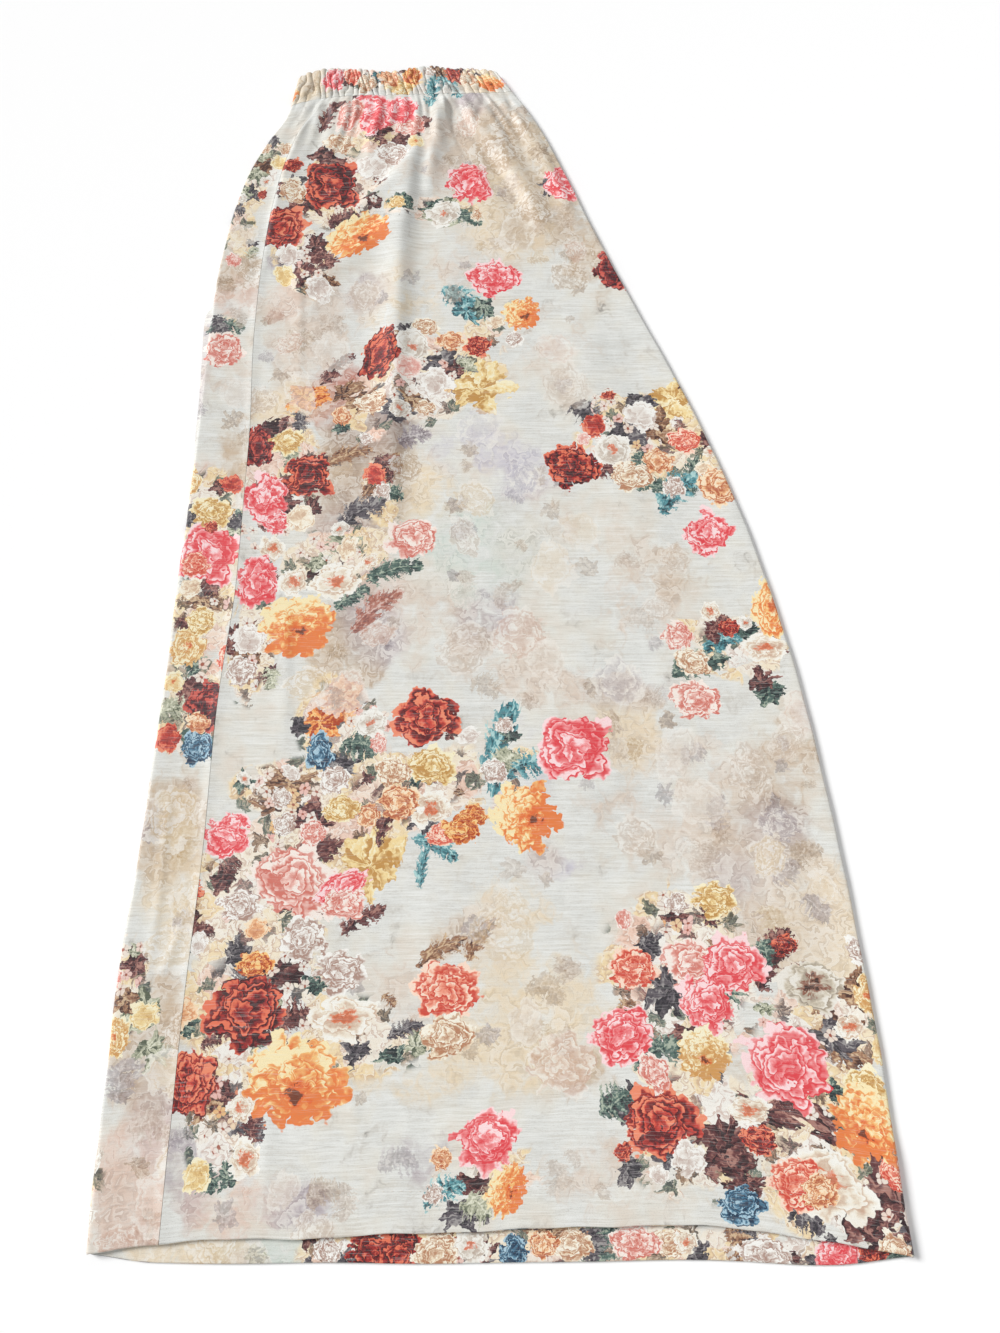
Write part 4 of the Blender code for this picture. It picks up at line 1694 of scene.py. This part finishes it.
def make_satin(level):
    material, shader = new_material(f"printed_satin_{level}", Specular_IOR_Level=0.36, Sheen_Weight=0.12,
                                    Sheen_Roughness=0.4)
    tree = material.node_tree
    colour, slubs, weave = printed_colour(tree, level)
    fill(shader, {"Base Color": colour, "Roughness": slubs * 0.16 + 0.40})
    bump = add_node(tree, "Bump", {"Strength": 0.45, "Distance": 0.25 * MM})
    fill(bump, {"Height": slubs + weave * 0.35})
    fill(shader, {"Normal": Wire(bump.outputs["Normal"])})
    return material


bloom_group()
leaf_group()
filler_group()
SATINS = [make_satin(level) for level in range(LAYERS + 1)]


# ---------------------------------------------------------------- the skirt's pieces


def dress(obj, slot, *nodes):
    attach(obj, "root")
    if nodes:
        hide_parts(*nodes)
    return obj


def make_panel(name, grid, side, node, seed):
    laid = Laid(PANEL_ROWS)
    outer, printed = grid(laid, curled(laid, 0.0, True))
    inner, _ = grid(laid, curled(laid, CLOTH, True))
    obj = shell(name, outer, inner)
    print_on(obj, side, printed, laid.down + 0 * printed, seed)
    return dress(obj, "printed_satin", node)


TURNUP_DEPTH = 1.2  # how far inside the panel's outer face the turn-up lies


def make_turnup(name, grid, node, seed):
    laid = Laid(TURNUP_ROWS)
    outer, _ = grid(laid, curled(laid, TURNUP_DEPTH, False))
    inner, _ = grid(laid, curled(laid, TURNUP_DEPTH + CLOTH, False))
    obj = shell(name, outer, inner)
    x = outer[..., 0]
    print_on(obj, "hem", x, laid.down + 0 * x, seed)
    return dress(obj, "turned_satin", node)


skirt_back = make_panel("skirt_back", back_grid, "back", "back_panel", 1)
skirt_front = make_panel("skirt_front", front_grid, "front", "front_panel", 2)
hem_back = make_turnup("hem_back_turnup", back_grid, "back_hem_turnup", 3)
hem_front = make_turnup("hem_front_turnup", front_grid, "front_hem_turnup", 4)


class Band:
    """The gathered waistband, doubled over its elastic, as rows from the waist seam to the upper edge."""

    def __init__(self, shares):
        self.share = np.array(shares, float)[:, None]
        self.waist = Laid([0.0])
        self.left = self.waist.left + (BAND_TOP[0] - self.waist.left) * self.share
        self.right = self.waist.right + (BAND_TOP[1] - self.waist.right) * self.share
        width = self.waist.right - self.waist.left
        self.seam_across = ((self.waist.seam - self.waist.left) / width).item()
        self.puff = BAND_PUFF * np.sin(math.pi * self.share)
        self.radius = BAND_RADIUS + self.puff / 2

    def ridge(self, across):
        return gather_ridge(across, gather_wander(across, self.share))

    def y(self, across, over):
        base_x = self.waist.left + (self.waist.right - self.waist.left) * across
        low = self.waist.y(base_x, over) + PARTING
        ruffle = over * 2.4 * (gather_ridge(across, 0.16) - 0.5)
        high = read(WAIST_LINE, "x", "top", base_x) + ruffle
        return low + (high - low) * self.share

    def upper(self, across, depth):
        x = self.left + (self.right - self.left) * across
        pinch = 1 - 0.55 * bell(self.share, 0.10) - 0.25 * bell(self.share - 1, 0.10)
        relief = BAND_RELIEF * pinch * (self.ridge(across) - 0.5)
        relief = relief - 0.5 * bell(self.share - 0.12, 0.05)
        inside = inside_tube(self, x, FOLD_ROLL / 2)
        height = 2 * self.radius + inside * (relief - FOLD_RISE / 2)
        lean = 0.5 * np.sin(TAU * (gather_phase(across) + gather_wander(across, self.share)))
        return np.stack((x + inside * lean, self.y(across, 1), height - depth), -1)

    def lower(self, across, depth):
        x = self.left + (self.right - self.left) * across
        z = inside_tube(self, x, FOLD_ROLL / 2) * 0.7 * (1 - self.ridge(across)) + depth
        return np.stack((x, self.y(across, 0), z), -1)

    def roll(self, side, shares, depth):
        edge, across = (self.left, 0.0) if side < 0 else (self.right, 1.0)
        x, z = half_round(side, edge - side * self.radius, self.radius, shares, depth)
        return np.stack((x, self.y(np.full((1, 1), across), 1 - shares) + 0 * x, z), -1)


BAND_COLUMNS = 13  # for each gather on top
BAND_UNDER_COLUMNS = 6
BAND_ROWS = np.concatenate((np.linspace(0, 0.9, 19), (0.93, 0.955, 0.975, 0.988, 0.996, 1.0)))
BAND_EDGE = 0.045  # the share of the band's height over which its upper edge rounds over
BAND_HALF = 0.8  # half the doubled cloth's thickness
BAND_ARC = 0.03  # the share of the band's print that goes round each side
BAND_PRINT_HEIGHT = 36


def band_depth(band, depth):
    """The doubled cloth's faces meet in a round fold at the upper edge."""
    over = np.clip((band.share - (1 - BAND_EDGE)) / BAND_EDGE, 0, 1)
    closing = BAND_HALF * (1 - np.sqrt(1 - over**2))
    return depth + (closing if depth < BAND_HALF else -closing)


def band_front_grid(band, depth):
    gap = PARTING / 2 / (band.right - band.left)
    turn = 1 - band.radius / (band.right - band.left)
    top = spread(band.seam_across + gap, turn, round(GATHERS * (1 - band.seam_across)) * BAND_COLUMNS)
    under = spread(turn, 1 - UNDER_SEAM_SHARE * band.seam_across + gap,
                   round(GATHERS * band.seam_across) * BAND_UNDER_COLUMNS)
    return wrapped(band, 1, top, under, turn, BAND_ARC, band_depth(band, depth))


def band_back_grid(band, depth):
    gap = PARTING / 2 / (band.right - band.left)
    turn = band.radius / (band.right - band.left)
    top = spread(turn, band.seam_across - gap, round(GATHERS * band.seam_across) * BAND_COLUMNS)
    under = spread(1 - UNDER_SEAM_SHARE * band.seam_across - gap, turn,
                   round(GATHERS * (1 - band.seam_across)) * BAND_UNDER_COLUMNS)
    return wrapped(band, -1, top, under, turn, BAND_ARC, band_depth(band, depth))


def make_band(name, grid, node, seed):
    band = Band(BAND_ROWS)
    outer, across = grid(band, 0.0)
    inner, _ = grid(band, 2 * BAND_HALF)
    obj = shell(name, outer, inner)
    low, high = SECTIONS[0]["left"], SECTIONS[0]["right"]
    x = low + (high - low) * across
    print_on(obj, "band", x, -band.share * BAND_PRINT_HEIGHT + 0 * x, seed)
    return dress(obj, "gathered_satin", node)


band_back = make_band("band_back", band_back_grid, "waistband_back", 5)
band_front = make_band("band_front", band_front_grid, "waistband_front", 6)


# ---------------------------------------------------------------- sewing


def make_thread():
    material, shader = new_material("thread", Roughness=0.6)
    twist = noise(wire(material.node_tree, "TexCoord", output="Object"), 2600.0)
    fill(shader, {"Base Color": blend((0.52, 0.47, 0.40), (0.80, 0.77, 0.70), twist)})
    return material


THREAD = make_thread()
UP = np.array((0, 0, 1))
SIDES = 6  # of a stitch's tube
RINGS_ALONG = 5
HEM_SEWING = (2.2, 4.2, 0.22)  # a stitch's length, the gap to the next one and the thread's radius
BAND_SEWING = (2.0, 0.9, 0.2)


def stitches(name, points, length, gap, radius, slot):
    """A row of stitches along points on the cloth, each a short arched tube."""
    along = np.concatenate(([0], np.cumsum(np.hypot(*np.diff(points[:, :2], axis=0).T))))

    def place(distance):
        return np.array([np.interp(distance, along, points[:, axis]) for axis in range(3)])

    vertices, faces = [], []
    for start in np.arange(0, along[-1] - length, length + gap):
        base = len(vertices)
        for k in range(RINGS_ALONG):
            share = k / (RINGS_ALONG - 1)
            arch = math.sin(math.pi * share)
            middle = place(start + length * share)
            ahead = place(start + length * share + 0.5) - middle
            aside = np.cross(UP, ahead / max(np.linalg.norm(ahead), 1e-6))
            middle = middle + UP * radius * (0.9 * arch - 0.35)
            for side in range(SIDES):
                angle = TAU * side / SIDES
                offset = aside * math.cos(angle) + UP * math.sin(angle)
                vertices.append(middle + offset * radius * (0.35 + 0.65 * arch))
        for k in range(base, base + (RINGS_ALONG - 1) * SIDES, SIDES):
            for side in range(SIDES):
                after = (side + 1) % SIDES
                faces.append((k + side, k + after, k + SIDES + after, k + SIDES + side))
        faces.append(list(range(base + SIDES - 1, base - 1, -1)))
        faces.append(list(range(len(vertices) - SIDES, len(vertices))))
    mesh = bpy.data.meshes.new(name)
    mesh.from_pydata(to_frame(vertices).tolist(), [], faces)
    mesh.shade_smooth()
    mesh.materials.append(THREAD)
    return dress(link(bpy.data.objects.new(name, mesh)), slot)


def line_on(grid, tube, lowest):
    """The points of a grid's one row that lie on top."""
    points = grid(tube, 0.0)[0][0]
    return points[points[:, 2] > lowest]


HEM_ROW = (Laid([LENGTH - TURNUP + 3]), 4.6)  # and the height above which its points are on top
BAND_ROW = (Band([0.12]), 4.0)
front_stitches = stitches("front_hem_stitches", line_on(front_grid, *HEM_ROW), *HEM_SEWING, "turned_satin")
back_stitches = stitches("back_hem_stitches", line_on(back_grid, *HEM_ROW), *HEM_SEWING, "turned_satin")
band_stitches = stitches("band_stitches", line_on(band_front_grid, *BAND_ROW), *BAND_SEWING,
                         "gathered_satin")
strip_stitches = stitches("band_strip_stitches", line_on(band_back_grid, *BAND_ROW), *BAND_SEWING,
                          "gathered_satin")


# ---------------------------------------------------------------- stage, light and camera


def make_floor():
    mesh = bpy.data.meshes.new("floor")
    half, low = 6.0, -0.6 * MM
    mesh.from_pydata([(-half, -half, low), (half, -half, low), (half, half, low), (-half, half, low)],
                     [], [(0, 1, 2, 3)])
    mesh.materials.append(new_material("pale_floor", Base_Color=(0.96, 0.96, 0.96), Roughness=0.9)[0])
    link(bpy.data.objects.new("floor", mesh))


def add_light(name, kind, place, **settings):
    """A soft lamp aimed at the middle of the skirt."""
    light = bpy.data.lights.new(name, kind)
    for key, value in settings.items():
        setattr(light, key, value)
    lamp = link(bpy.data.objects.new(name, light))
    lamp.location = place
    lamp.rotation_mode = "QUATERNION"
    lamp.rotation_quaternion = (-lamp.location).to_track_quat("-Z", "Y")


def make_world():
    world = bpy.data.worlds.new("studio")
    world.use_nodes = True
    background = world.node_tree.nodes["Background"]
    background.inputs["Color"].default_value = (1, 1, 1, 1)
    background.inputs["Strength"].default_value = 0.385
    bpy.context.scene.world = world


CAMERA_HEIGHT = 0.79  # metres
CAMERA_TILT = 18  # degrees from straight down, towards the waist
CAMERA_DOWN = 862.4  # millimetres down from the waist seam to the place below the camera
FOCAL_LENGTH = 27.0


def make_camera():
    camera = bpy.data.cameras.new("camera")
    camera.lens = FOCAL_LENGTH
    camera.sensor_fit = "AUTO"
    camera.sensor_width = 36
    obj = link(bpy.data.objects.new("camera", camera))
    x, y, _ = to_frame((0, -CAMERA_DOWN, 0))
    obj.location = (x, y, CAMERA_HEIGHT)
    obj.rotation_euler = (math.radians(CAMERA_TILT), 0, 0)
    bpy.context.scene.camera = obj


make_floor()
add_light("key", "SUN", (-5.6, 2.4, 4.4), angle=math.radians(22), energy=3.20)
add_light("fill", "AREA", (0.9, -0.7, 1.9), size=1.8, energy=5)
make_world()
make_camera()
bpy.context.scene.view_settings.view_transform = "Standard"
